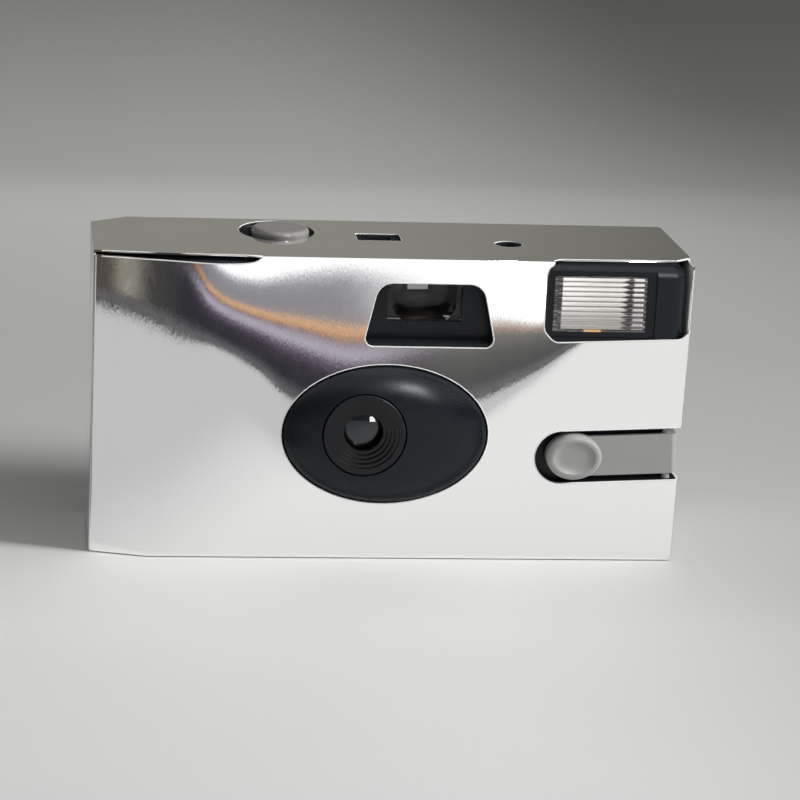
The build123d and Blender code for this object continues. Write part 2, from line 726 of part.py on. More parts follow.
# Shutter blade: a thin leaf that covers the exposure hole, with a tab for the striker
blade_thickness = 0.3
blade_front = board_back + (blade_space - blade_thickness) / 2
lever_bottom = deck_top + loose
lever_thickness = 1.2
tab_x = blade_pin_x - 5.7
tab_z = lever_bottom + lever_thickness + 0.2
with BuildPart() as shutter_blade:
    with BuildSketch(Plane.XZ.offset(-blade_front - blade_thickness)):
        with Locations((lens_x, lens_height)):
            Circle(3.0)
        with Locations((blade_pin_x, blade_pin_z)):
            Circle(2.2)
        with BuildLine():
            Polyline(
                (lens_x - 1.6, lens_height),
                (lens_x + 1.6, lens_height),
                (blade_pin_x + 1.4, blade_pin_z),
                (tab_x + 1.4, tab_z),
                (tab_x, tab_z),
                (blade_pin_x - 1.8, blade_pin_z),
                close=True,
            )
        make_face()
        with Locations((blade_pin_x, blade_pin_z)):
            Circle(pin_radius + running, mode=Mode.SUBTRACT)
    extrude(amount=blade_thickness)
shutter_blade.part.label = "shutter_blade"
export_step(shutter_blade.part, "parts/shutter_blade.step")

# Springs of the shutter mechanism
with BuildPart() as shutter_spring:
    coil((blade_pin_x, board_back - 1.35, blade_pin_z), 3, 0.38, 1.5, 0.25, (0, 1, 0))
shutter_spring.part.label = "shutter_spring"
export_step(shutter_spring.part, "parts/shutter_spring.step")

hub_radius = 2.0
striker_hub = 3.6
metering_hub = 7.2
with BuildPart() as striker_spring:
    coil((striker_x, striker_y, lever_bottom + lever_thickness + 0.3), 4, 0.45, hub_radius + 0.4, 0.35)
striker_spring.part.label = "striker_spring"
export_step(striker_spring.part, "parts/striker_spring.step")

with BuildPart() as metering_spring:
    coil((metering_x, metering_y, lever_bottom + lever_thickness + 0.4), 5, 0.5, hub_radius + 0.4, 0.35)
metering_spring.part.label = "metering_spring"
export_step(metering_spring.part, "parts/metering_spring.step")

# Striker: swings when it is let go, and flicks the tab of the shutter blade
striker_reach = 7.5
striker_angle = math.radians(-80)
with BuildPart() as striker_lever:
    upright(striker_x, striker_y, lever_bottom, lever_bottom + striker_hub, hub_radius)
    bar(striker_x, striker_y, striker_x + striker_reach * math.cos(striker_angle),
        striker_y + striker_reach * math.sin(striker_angle), lever_bottom,
        lever_bottom + lever_thickness, 1.6)
    bar(striker_x, striker_y, striker_x - 3.6, striker_y + 2.0, lever_bottom,
        lever_bottom + lever_thickness, 1.8)
    upright(striker_x, striker_y, lever_bottom - 1, lever_bottom + 5, pin_radius + running, Mode.SUBTRACT)
striker_lever.part.label = "striker_lever"
export_step(striker_lever.part, "parts/striker_lever.step")

# Metering lever: feels the cam, locks the thumbwheel, and lets the striker go
cam_radius = 4.0
cam_gap = 1.4
cam_direction = math.atan2(sprocket_y - metering_y, sprocket_x - metering_x)
cam_reach = math.hypot(sprocket_x - metering_x, sprocket_y - metering_y) - cam_radius - cam_gap
wheel_arm_z = wheel_bottom + 0.1
nose_x = cartridge_x + wheel_radius + 0.9
with BuildPart() as metering_lever:
    upright(metering_x, metering_y, lever_bottom, lever_bottom + metering_hub, hub_radius)
    bar(metering_x, metering_y, metering_x + cam_reach * math.cos(cam_direction),
        metering_y + cam_reach * math.sin(cam_direction), lever_bottom, lever_bottom + lever_thickness, 1.4)
    bar(metering_x, metering_y, nose_x, cartridge_y - 0.6, wheel_arm_z, wheel_arm_z + lever_thickness, 1.2)
    bar(metering_x, metering_y, button_x + 0.3, button_y - 0.9, wheel_arm_z,
        wheel_arm_z + lever_thickness, 2.4)
    upright(metering_x, metering_y, lever_bottom - 1, lever_bottom + 9, pin_radius + running, Mode.SUBTRACT)
metering_lever.part.label = "metering_lever"
export_step(metering_lever.part, "parts/metering_lever.step")

# Sprocket with its shaft, whose top finger steps the counter disc
sprocket_half = 0.85
tooth_width = 1.2
tooth_height = 1.2
tooth_tip = sprocket_radius + 0.75
finger_reach = math.hypot(counter_x - sprocket_x, counter_y - sprocket_y) - counter_radius - running
finger_turn = math.atan2(counter_y - sprocket_y, counter_x - sprocket_x) + math.pi / 4
with BuildPart() as sprocket:
    upright(sprocket_x, sprocket_y, perforation_z - sprocket_half, perforation_z + sprocket_half,
            sprocket_radius)
    with BuildSketch(Plane.XY.offset(perforation_z - tooth_height / 2)):
        with Locations((sprocket_x, sprocket_y)):
            with PolarLocations(sprocket_radius - 0.3, teeth_on_sprocket, start_angle=90):
                Trapezoid(1.2 * tooth_width, tooth_tip - sprocket_radius + 0.3, 75, rotation=-90,
                          align=(Align.CENTER, Align.MIN))
    extrude(amount=tooth_height)
    upright(sprocket_x, sprocket_y, perforation_z - sprocket_half, counter_bottom + counter_thickness,
            shaft_radius)
    bar(sprocket_x, sprocket_y, sprocket_x + (finger_reach - 0.5) * math.cos(finger_turn),
        sprocket_y + (finger_reach - 0.5) * math.sin(finger_turn), counter_bottom,
        counter_bottom + counter_thickness, 1.0)
sprocket.part.label = "sprocket"
export_step(sprocket.part, "parts/sprocket.step")

with BuildPart() as metering_cam:
    upright(sprocket_x, sprocket_y, lever_bottom, lever_bottom + 2, cam_radius)
    block(sprocket_x - 0.9, sprocket_x + 0.9, sprocket_y + cam_radius - 1.0, sprocket_y + cam_radius + 1,
          lever_bottom - 1, lever_bottom + 3, Mode.SUBTRACT)
    upright(sprocket_x, sprocket_y, lever_bottom - 1, lever_bottom + 3, shaft_radius, Mode.SUBTRACT)
metering_cam.part.label = "metering_cam"
export_step(metering_cam.part, "parts/metering_cam.step")

# Mechanism cover: bearings for the shafts, guide for the button stem, axle for the counter
axle_radius = 1.2
guide_radius = 3.0
cover_posts = [
    (finder_left - finder_wall - 2.7, sprocket_y + 3.2),
    (finder_left - finder_wall - 2.7, metering_y + 0.1),
    (sprocket_x - 4.1, sprocket_y + 4.4),
]
with BuildPart() as mechanism_cover:
    block(sprocket_x - 5.4, finder_left - finder_wall - 0.3, metering_y - 2.6, sprocket_y + 5.8,
          cover_bottom, cover_top)
    upright(button_x, button_y, cover_bottom, cover_top, guide_radius)
    bar(button_x, button_y, sprocket_x - 3, button_y, cover_bottom, cover_top, 2 * guide_radius - 0.4)
    for post_x, post_y in cover_posts:
        upright(post_x, post_y, deck_top, cover_top, 1.3)
    upright(counter_x, counter_y, cover_bottom, counter_bottom + counter_thickness, axle_radius)
    upright(button_x, button_y, cover_bottom - 1, cover_top + 1, stem_radius + running, Mode.SUBTRACT)
    upright(sprocket_x, sprocket_y, cover_bottom - 1, cover_top + 1, shaft_radius + running, Mode.SUBTRACT)
mechanism_cover.part.label = "mechanism_cover"
export_step(mechanism_cover.part, "parts/mechanism_cover.step")

# Counter disc, with notches for the finger
with BuildPart() as counter_disc:
    upright(counter_x, counter_y, counter_bottom, counter_bottom + counter_thickness, counter_radius)
    with BuildSketch(Plane.XY.offset(counter_bottom - 0.5)):
        with Locations((counter_x, counter_y)):
            with PolarLocations(counter_radius, counter_notches):
                Rectangle(0.8, 0.8, rotation=45)
    extrude(amount=counter_thickness + 1, mode=Mode.SUBTRACT)
    upright(counter_x, counter_y, cover_top + running, counter_bottom + 0.1, 2.4)
    upright(counter_x, counter_y, cover_top - 1, counter_bottom + 2, axle_radius + running, Mode.SUBTRACT)
counter_disc.part.label = "counter_disc"
export_step(counter_disc.part, "parts/counter_disc.step")

with BuildPart() as counter_window:
    block(counter_x + 2.2, counter_x + 8.0, counter_y - 0.2, counter_y + 4.8, roof_in, body_top - 0.3)
counter_window.part.label = "counter_window"
export_step(counter_window.part, "parts/counter_window.step")

# Finder housing with its two lenses
eye_wall = 2.6
eye_lens_margin = 0.5
with BuildPart() as finder_housing:
    block(finder_left - finder_wall, finder_right + finder_wall, finder_front, back_in, deck_top,
          finder_top + 0.7)
    block(finder_left, finder_right, finder_front - 1, back_in - eye_wall, finder_bottom, finder_top,
          Mode.SUBTRACT)
    block(finder_x - eyepiece_width / 2, finder_x + eyepiece_width / 2, back_in - eye_wall - 1, back_in + 1,
          finder_z - eyepiece_height / 2, finder_z + eyepiece_height / 2, Mode.SUBTRACT)
    block(finder_x - eyepiece_width / 2 - eye_lens_margin, finder_x + eyepiece_width / 2 + eye_lens_margin,
          back_in - eye_wall - 1, back_in - 0.9, finder_z - eyepiece_height / 2 - eye_lens_margin,
          finder_z + eyepiece_height / 2 + eye_lens_margin, Mode.SUBTRACT)
finder_housing.part.label = "finder_housing"
export_step(finder_housing.part, "parts/finder_housing.step")

front_lens_thickness = 2.0
front_lens_circle = 6.9
front_lens_sag = 1.3
front_lens_sphere = (front_lens_circle**2 + front_lens_sag**2) / (2 * front_lens_sag)
front_lens_face = finder_front + 0.3
with BuildPart() as finder_front_lens:
    block(finder_left + running, finder_right - running, front_lens_face,
          front_lens_face + front_lens_thickness, finder_bottom + running, finder_top - running)
    with Locations((finder_x, front_lens_face + front_lens_sag - front_lens_sphere, finder_z + 0.8)):
        Sphere(front_lens_sphere, mode=Mode.SUBTRACT)
finder_front_lens.part.label = "finder_front_lens"
export_step(finder_front_lens.part, "parts/finder_front_lens.step")

rear_lens_thickness = 1.2
rear_lens_sphere = 26.0
rear_lens_back = back_in - 0.9
with BuildPart() as finder_rear_lens:
    block(finder_x - eyepiece_width / 2 - eye_lens_margin + running,
          finder_x + eyepiece_width / 2 + eye_lens_margin - running,
          rear_lens_back - rear_lens_thickness - 1, rear_lens_back,
          finder_z - eyepiece_height / 2 - eye_lens_margin + running,
          finder_z + eyepiece_height / 2 + eye_lens_margin - running)
    with Locations((finder_x, rear_lens_back - rear_lens_thickness - 0.5 + rear_lens_sphere, finder_z)):
        Sphere(rear_lens_sphere, mode=Mode.INTERSECT)
finder_rear_lens.part.label = "finder_rear_lens"
export_step(finder_rear_lens.part, "parts/finder_rear_lens.step")

# Film: the strip across the gate, perforated along both edges, and the roll it comes from.
# The strip stands still, so a slit beside the sprocket lets its teeth pass
strip_left = cartridge_x + 4.6
strip_right = roll_x
strip_margin = 1.5
low_perforation_z = film_bottom + perforation_margin + perforation_width / 2
tooth_sweep = math.sqrt(tooth_tip**2 - (sprocket_radius + seat) ** 2) + 0.2
with BuildPart() as film_strip:
    block(strip_left, strip_right, film_y, film_y + film_thickness, film_bottom, film_top)
    with BuildSketch(Plane.XZ.offset(-film_y - 1)):
        for row_z in (low_perforation_z, perforation_z):
            for step in range(-int((sprocket_x - strip_left - strip_margin) / perforation_pitch),
                              int((strip_right - sprocket_x - strip_margin) / perforation_pitch) + 1):
                with Locations((sprocket_x + step * perforation_pitch, row_z)):
                    Rectangle(perforation_length, perforation_width)
        with Locations((sprocket_x, perforation_z)):
            Rectangle(2 * tooth_sweep, tooth_height + 0.4)
    extrude(amount=2, mode=Mode.SUBTRACT)
film_strip.part.label = "film_strip"
export_step(film_strip.part, "parts/film_strip.step")

with BuildPart() as supply_spool:
    upright(roll_x, roll_y, film_bottom, film_top, roll_core_radius)
    upright(roll_x, roll_y, floor_in + loose, deck_top - 0.1, shaft_radius)
supply_spool.part.label = "supply_spool"
export_step(supply_spool.part, "parts/supply_spool.step")

with BuildPart() as film_roll:
    upright(roll_x, roll_y, film_bottom, film_top, roll_radius)
    upright(roll_x, roll_y, film_bottom - 1, film_top + 1, roll_core_radius, Mode.SUBTRACT)
film_roll.part.label = "film_roll"
export_step(film_roll.part, "parts/film_roll.step")

# Film cartridge: rolled shell with its mouth, two pressed caps, and the spool inside
shell_bottom = cartridge_bottom + 0.5
shell_top = cartridge_top - 0.5
lip_left = cartridge_x + 3.0
lip_right = cartridge_x + cartridge_radius + 0.2
lip_skin = 0.5
slot_gap = 0.2
with BuildPart() as cartridge_shell:
    upright(cartridge_x, cartridge_y, shell_bottom, shell_top, cartridge_radius)
    block(lip_left, lip_right, film_y - slot_gap - lip_skin, film_y + film_thickness + slot_gap + lip_skin,
          shell_bottom + cap_height, shell_top - cap_height)
    upright(cartridge_x, cartridge_y, shell_bottom - 1, shell_top + 1, cartridge_radius - shell_thickness,
            Mode.SUBTRACT)
    block(lip_left - 1, lip_right + 1, film_y - slot_gap, film_y + film_thickness + slot_gap,
          film_bottom - slot_gap, film_top + slot_gap, Mode.SUBTRACT)
cartridge_shell.part.label = "cartridge_shell"
export_step(cartridge_shell.part, "parts/cartridge_shell.step")


def cartridge_cap(end_z, inward):
    """A pressed cap that closes one end of the cartridge; inward is +1 or -1 along Z."""
    with BuildPart() as cap:
        low, high = sorted((end_z, end_z + inward * cap_height))
        upright(cartridge_x, cartridge_y, low, high, cartridge_radius + cap_rim)
        low, high = sorted((end_z + inward * 0.5, end_z + inward * (cap_height + 1)))
        upright(cartridge_x, cartridge_y, low, high, cartridge_radius, Mode.SUBTRACT)
        upright(cartridge_x, cartridge_y, end_z - 3, end_z + 3, spool_hub_radius + running, Mode.SUBTRACT)
    return cap


cartridge_cap_low = cartridge_cap(cartridge_bottom, 1)
cartridge_cap_low.part.label = "cartridge_cap_low"
export_step(cartridge_cap_low.part, "parts/cartridge_cap_low.step")
cartridge_cap_high = cartridge_cap(cartridge_top, -1)
cartridge_cap_high.part.label = "cartridge_cap_high"
export_step(cartridge_cap_high.part, "parts/cartridge_cap_high.step")

fork_radius = 3.2
fork_depth = 6.0
fork_width = 1.6
key_width = fork_width - 0.4
with BuildPart() as cartridge_spool:
    upright(cartridge_x, cartridge_y, cartridge_bottom, cartridge_top, spool_hub_radius)
    for flange_z in (film_bottom - 1.3, film_top + 0.3):
        upright(cartridge_x, cartridge_y, flange_z, flange_z + 1.0, cartridge_radius - 1.2)
    upright(cartridge_x, cartridge_y, cartridge_top - fork_depth, cartridge_top + 1, fork_radius + 0.2,
            Mode.SUBTRACT)
    block(cartridge_x - fork_radius - 0.5, cartridge_x + fork_radius + 0.5, cartridge_y - key_width / 2,
          cartridge_y + key_width / 2, cartridge_top - fork_depth - 0.5, cartridge_top - 2.5)
cartridge_spool.part.label = "cartridge_spool"
export_step(cartridge_spool.part, "parts/cartridge_spool.step")

# Thumbwheel: milled rim at the back of the camera, with a fork down into the cartridge spool
web_depth = 1.6
with BuildPart() as thumbwheel:
    upright(cartridge_x, cartridge_y, wheel_bottom, wheel_top, wheel_radius)
    chamfer(thumbwheel.edges().filter_by(GeomType.CIRCLE), 0.4)
    with BuildSketch(Plane.XY.offset(wheel_bottom - 0.5)):
        with Locations((cartridge_x, cartridge_y)):
            with PolarLocations(wheel_radius + 0.15, wheel_teeth, start_angle=90 + 180 / wheel_teeth):
                Rectangle(2 * tooth_depth, 2 * tooth_depth, rotation=45)
    extrude(amount=wheel_thickness + 1, mode=Mode.SUBTRACT)
    for groove_low in (wheel_bottom - 1, wheel_top - web_depth):
        with BuildSketch(Plane.XY.offset(groove_low)):
            with Locations((cartridge_x, cartridge_y)):
                Circle(wheel_radius - 2.4)
                Circle(6.0, mode=Mode.SUBTRACT)
        extrude(amount=web_depth + 1, mode=Mode.SUBTRACT)
    upright(cartridge_x, cartridge_y, cartridge_top + 0.1, wheel_bottom + 0.5, wheel_hub_radius)
    upright(cartridge_x, cartridge_y, cartridge_top - fork_depth + 0.8, cartridge_top + 0.5, fork_radius)
    block(cartridge_x - 5, cartridge_x + 5, cartridge_y - fork_width / 2, cartridge_y + fork_width / 2,
          cartridge_top - fork_depth, cartridge_top - 2.0, Mode.SUBTRACT)
    upright(cartridge_x, cartridge_y, wheel_top - 0.5, roof_in - 0.7, wheel_pin_radius)
thumbwheel.part.label = "thumbwheel"
export_step(thumbwheel.part, "parts/thumbwheel.step")

# Pawl that keeps the thumbwheel from turning back
pawl_nose_x = cartridge_x + (wheel_radius + 1.0) * math.cos(math.pi / 4)
pawl_nose_y = cartridge_y - (wheel_radius + 1.0) * math.sin(math.pi / 4)
with BuildPart() as wheel_pawl:
    upright(pawl_x, pawl_y, wheel_deck_top + loose, wheel_top - 1.5, hub_radius)
    bar(pawl_x, pawl_y, pawl_nose_x, pawl_nose_y, wheel_bottom + 1.0, wheel_bottom + 2.6, 1.3)
    upright(pawl_x, pawl_y, wheel_deck_top - 1, wheel_top + 1, pin_radius + running, Mode.SUBTRACT)
wheel_pawl.part.label = "wheel_pawl"
export_step(wheel_pawl.part, "parts/wheel_pawl.step")

# Shutter button: domed cap in the roof, held by two lugs, with a stem through its guide
button_top = sleeve_height + button_rise
dome = 0.9
lug_half = 2.2
flange_top = roof_in - loose
flange_height = flange_top - cover_top - button_travel - 2 * loose
with BuildPart() as shutter_button:
    upright(button_x, button_y, flange_top - flange_height, button_top, button_radius)
    fillet(shutter_button.faces().sort_by(Axis.Z)[-1].edges(), dome)
    block(button_x - lug_half, button_x + lug_half, button_y - button_radius - 0.5,
          button_y + button_radius + 0.5, flange_top - flange_height, flange_top)
    upright(button_x, button_y, flange_top - 2, flange_top + 0.4, button_radius - 1.2, Mode.SUBTRACT)
    upright(button_x, button_y, cover_bottom - 0.4, flange_top + 1, stem_radius)
shutter_button.part.label = "shutter_button"
export_step(shutter_button.part, "parts/shutter_button.step")

spring_wire = 0.3
with BuildPart() as button_spring:
    coil((button_x, button_y, cover_top + spring_wire / 2 + 0.02), 4,
         (flange_top + 0.4 - cover_top - spring_wire - 0.04) / 4, stem_radius + 1.0, spring_wire)
button_spring.part.label = "button_spring"
export_step(button_spring.part, "parts/button_spring.step")

# Flash: ribbed window, bright reflector and the tube across it
window_front = body_front + 0.3
rib_pitch = (window_height - 0.6) / window_ribs
with BuildPart() as flash_window:
    block(window_left, window_left + window_width, window_front, window_front + window_thickness,
          window_bottom, window_bottom + window_height)
    for rib in range(window_ribs):
        along_x(window_front + 0.15, window_bottom + 0.3 + (rib + 0.5) * rib_pitch, window_left + 0.8,
                window_left + window_width - 0.8, rib_pitch * 0.46)
    block(window_left - 0.7, window_left + window_width + 0.7, front_in, window_front + window_thickness,
          window_bottom - 0.7, roof_in + wall - edge_radius)
flash_window.part.label = "flash_window"
export_step(flash_window.part, "parts/flash_window.step")

reflector_front = window_front + window_thickness
reflector_back = reflector_front + 6.6
tube_y = reflector_back - 2.4
reflector_skin = 0.3


def reflector_form(grow, y_front):
    """The trough of the flash reflector, grown outwards by a skin."""
    with BuildSketch(Plane.XZ.offset(-y_front)) as mouth:
        with Locations((window_x, window_z)):
            Rectangle(window_width - 0.6 + 2 * grow, window_height - 0.6 + 2 * grow)
    with BuildSketch(Plane.XZ.offset(-tube_y + 0.5)) as waist:
        with Locations((window_x, window_z)):
            Rectangle(window_width - 2.4 + 2 * grow, 8.0 + 2 * grow)
    with BuildSketch(Plane.XZ.offset(-reflector_back - grow + reflector_skin)) as end:
        with Locations((window_x, window_z)):
            Rectangle(window_width - 3.4 + 2 * grow, 3.6 + 2 * grow)
    return [mouth.sketch, waist.sketch, end.sketch]


with BuildPart() as flash_reflector:
    loft(sections=reflector_form(reflector_skin, reflector_front), ruled=True)
    loft(sections=reflector_form(0, reflector_front - 0.01), ruled=True, mode=Mode.SUBTRACT)
    along_x(tube_y, window_z, window_left - 2, window_left + window_width + 2, tube_radius + seat,
            Mode.SUBTRACT)
flash_reflector.part.label = "flash_reflector"
export_step(flash_reflector.part, "parts/flash_reflector.step")

with BuildPart() as xenon_tube:
    along_x(tube_y, window_z, window_left - 1.4, window_left + window_width + 1.4, tube_radius)
    along_x(tube_y, window_z, window_left - 2.6, window_left + window_width + 2.6, 0.4)
xenon_tube.part.label = "xenon_tube"
export_step(xenon_tube.part, "parts/xenon_tube.step")

# Circuit board with its parts
board_bottom = floor_in + 0.2
board_top = body_top - 2.4
with BuildPart() as circuit_board:
    block(circuit_left, circuit_right - 1.4, circuit_front, board_y, board_bottom, board_top)
    block(circuit_left - 1, roll_x + 2, circuit_front - 1, board_y + 1, board_top - 9.0, board_top + 1,
          Mode.SUBTRACT)
    block(circuit_left - 1, tray_right + 1.0 + loose, circuit_front - 1, board_y + 1, board_bottom - 1,
          battery_z + 1.5 + loose, Mode.SUBTRACT)
circuit_board.part.label = "circuit_board"
export_step(circuit_board.part, "parts/circuit_board.step")

capacitor_radius = 4.6
capacitor_x = body_right - 8.5
capacitor_y = board_y + capacitor_radius + running
with BuildPart() as flash_capacitor:
    upright(capacitor_x, capacitor_y, floor_in + 3.0, floor_in + 34.0, capacitor_radius)
    fillet(flash_capacitor.edges().filter_by(GeomType.CIRCLE), 0.6)
flash_capacitor.part.label = "flash_capacitor"
export_step(flash_capacitor.part, "parts/flash_capacitor.step")

transformer_x = window_left + 3.4
transformer_z = window_bottom - 11.5
with BuildPart() as transformer:
    block(transformer_x - 5, transformer_x + 5, circuit_front - 7.0, circuit_front, transformer_z - 4.2,
          transformer_z + 4.2)
    block(transformer_x - 3.4, transformer_x + 3.4, circuit_front - 8.2, circuit_front - 6.9,
          transformer_z - 3.4, transformer_z + 3.4)
transformer.part.label = "transformer"
export_step(transformer.part, "parts/transformer.step")

with BuildPart() as trigger_coil:
    along_x(circuit_front - 2.6, transformer_z + 0.5, transformer_x + 7.5, transformer_x + 15.0, 2.6)
    for cheek_x in (transformer_x + 7.0, transformer_x + 14.7):
        block(cheek_x, cheek_x + 0.8, circuit_front - 5.4, circuit_front, transformer_z - 2.4,
              transformer_z + 3.4)
trigger_coil.part.label = "trigger_coil"
export_step(trigger_coil.part, "parts/trigger_coil.step")

# Small parts on the board: a transistor and three resistors on bent leads
parts_bottom = board_bottom + 4.0
with BuildPart() as transistor:
    upright(transformer_x - 2.0, circuit_front - 1.2, parts_bottom, parts_bottom + 4.6, 2.3)
    block(transformer_x - 5.0, transformer_x + 1.0, circuit_front, circuit_front + 3, parts_bottom - 1,
          parts_bottom + 6, Mode.SUBTRACT)
    block(transformer_x - 5.0, transformer_x + 1.0, circuit_front - 5, circuit_front - 2.4, parts_bottom - 1,
          parts_bottom + 6, Mode.SUBTRACT)
transistor.part.label = "transistor"
export_step(transistor.part, "parts/transistor.step")

resistor_left = transformer_x + 3.4
resistor_reach = 9.0
lead = 0.4


def resistor(height):
    """A small resistor that lies across the board at one height."""
    with BuildPart() as piece:
        along_x(circuit_front - 1.3, height, resistor_left + 1.6, resistor_left + resistor_reach - 1.6, 1.0)
        block(resistor_left, resistor_left + resistor_reach, circuit_front - 1.3 - lead / 2,
              circuit_front - 1.3 + lead / 2, height - lead / 2, height + lead / 2)
        for lead_x in (resistor_left, resistor_left + resistor_reach - lead):
            block(lead_x, lead_x + lead, circuit_front - 1.3, circuit_front, height - lead / 2,
                  height + lead / 2)
    return piece


resistor_low = resistor(parts_bottom)
resistor_low.part.label = "resistor_low"
export_step(resistor_low.part, "parts/resistor_low.step")
resistor_middle = resistor(parts_bottom + 2.8)
resistor_middle.part.label = "resistor_middle"
export_step(resistor_middle.part, "parts/resistor_middle.step")
resistor_high = resistor(parts_bottom + 5.6)
resistor_high.part.label = "resistor_high"
export_step(resistor_high.part, "parts/resistor_high.step")

# Charge lamp on its leads, under a light pipe in the roof
lamp_radius = 1.8
pipe_bottom = roof_in - 3.2
lamp_crown = pipe_bottom - 0.4 - lamp_radius
lead_bottom = deck_top + 0.4
with BuildPart() as charge_lamp:
    upright(lamp_x, lamp_y, lamp_crown - 5.4, lamp_crown, lamp_radius)
    with Locations((lamp_x, lamp_y, lamp_crown)):
        Sphere(lamp_radius)
    for side in (-0.9, 0.9):
        block(lamp_x + side - lead / 2, lamp_x + side + lead / 2, lamp_y - lead / 2, lamp_y + lead / 2,
              lead_bottom, lamp_crown - 5.0)
        block(lamp_x + side - lead / 2, lamp_x + side + lead / 2, board_y, lamp_y + lead / 2,
              lead_bottom, lead_bottom + lead)
charge_lamp.part.label = "charge_lamp"
export_step(charge_lamp.part, "parts/charge_lamp.step")

with BuildPart() as light_pipe:
    upright(lamp_x, lamp_y, pipe_bottom, body_top - 0.5, pipe_hole_radius - running)
    upright(lamp_x, lamp_y, roof_in - 1.0, roof_in, 3.2)
light_pipe.part.label = "light_pipe"
export_step(light_pipe.part, "parts/light_pipe.step")

# Contacts: the shutter's sync pair and the leaf under the flash switch
leaf = 0.3
sync_x = plate_right + 1.2
sync_z = blade_pin_z + 2.0
with BuildPart() as sync_contacts:
    for level in (0, 1.6):
        block(sync_x, circuit_left + 3.0, circuit_front - 0.3 - leaf - level, circuit_front - 0.3 - level,
              sync_z - 1.2, sync_z + 1.2)
    block(circuit_left + 1.0, circuit_left + 3.0, circuit_front - 2.2, circuit_front, sync_z - 1.2,
          sync_z + 1.2)
sync_contacts.part.label = "sync_contacts"
export_step(sync_contacts.part, "parts/sync_contacts.step")

peg_end = pocket_back + 0.5
leaf_front = peg_end + pivot_u * math.sin(math.radians(switch_travel)) + loose
with BuildPart() as switch_contact:
    block(pad_x - 2.0, pad_x + 8.0, leaf_front, leaf_front + leaf, pad_height - 1.5, pad_height + 1.5)
    block(pad_x + 8.0 - leaf, pad_x + 8.0, leaf_front, circuit_front, pad_height - 1.5, pad_height + 1.5)
    block(pad_x + 8.0 - leaf, pad_x + 12.0, circuit_front - leaf, circuit_front, pad_height - 1.5,
          pad_height + 1.5)
switch_contact.part.label = "switch_contact"
export_step(switch_contact.part, "parts/switch_contact.step")

# Battery and its two contacts
battery_left = battery_x - battery_length / 2
battery_right = battery_x + battery_length / 2
with BuildPart() as battery:
    along_x(battery_y, battery_z, battery_left, battery_right - 1.0, battery_radius)
    fillet(battery.edges().filter_by(GeomType.CIRCLE), 0.4)
    along_x(battery_y, battery_z, battery_right - 1.2, battery_right, 1.9)
battery.part.label = "battery"
export_step(battery.part, "parts/battery.step")

with BuildPart() as battery_contact_minus:
    block(tray_left, tray_left + leaf, battery_y - 3.5, battery_y + 3.5, battery_z - 4.0, battery_z + 4.0)
    along_x(battery_y, battery_z, tray_left + leaf, battery_left, 1.6)
battery_contact_minus.part.label = "battery_contact_minus"
export_step(battery_contact_minus.part, "parts/battery_contact_minus.step")

with BuildPart() as battery_contact_plus:
    block(tray_right - leaf, tray_right, battery_y - 3.5, battery_y + 3.5, battery_z - 4.0, battery_z + 4.0)
    along_x(battery_y, battery_z, battery_right, tray_right - leaf, 1.6)
battery_contact_plus.part.label = "battery_contact_plus"
export_step(battery_contact_plus.part, "parts/battery_contact_plus.step")

# Flash switch: a sprung key with an oval pad, which rocks on a pin at the right end
band_front = body_front - 0.1
band_back = band_front + band_thickness
band_half = band_height / 2
wrap_back = -5.4
wrap_inside = switch_end - band_thickness
pad_face = -sleeve_depth / 2 - pad_proud
pad_lift = 0.3
pad_dish = 0.45


def pad_oval(y, inset):
    """An oval of the pad at one depth, drawn in by inset."""
    with BuildSketch(switch_face.offset(-y)) as oval:
        with Locations((0, pad_lift)):
            Ellipse(pad_width / 2 - inset, pad_tall / 2 - inset)
    return oval.sketch


with BuildPart() as flash_switch:
    with BuildSketch(switch_plan) as key:
        with BuildLine():
            Polyline(
                (-pad_width / 4, band_front),
                (switch_end, band_front),
                (switch_end, wrap_back),
                (wrap_inside, wrap_back),
                (wrap_inside, band_back),
                (-pad_width / 4, band_back),
                close=True,
            )
        make_face()
        fillet(key.vertices().group_by(Axis.Y)[0].sort_by(Axis.X)[-1], 1.1)
    extrude(amount=band_half, both=True)
    extrude(pad_oval(band_back, 0), amount=band_back - pad_face)
    fillet(flash_switch.faces().sort_by(Axis.Y)[0].edges(), 0.8)
    loft(sections=[pad_oval(pad_face - 0.05, 1.1), pad_oval(pad_face + pad_dish * 0.6, 1.9),
                   pad_oval(pad_face + pad_dish, 3.2)], mode=Mode.SUBTRACT)
    along_y(pad_x, pad_height, band_back - 0.1, peg_end, peg_radius)
    with Locations(switch_pin):
        Cylinder(knuckle_radius, band_height)
        Cylinder(pivot_radius, slot_height + 1.2)
flash_switch.part.label = "flash_switch"
export_step(flash_switch.part, "parts/flash_switch.step")
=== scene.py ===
# %% [markdown]
# # A single-use film camera in a mirror-foil card sleeve
# The camera is a plastic body with a folded card sleeve round it. The CAD frame already holds
# every piece in its place. So this notebook adds finishes, the card's white lips, printed details,
# a coil, a floor, lamps and the view. The frame is loaded first, because every later cell hangs on
# its bodies.

# %% Load the imported frame
import functools
import math

import bpy
from mathutils import Matrix, Vector


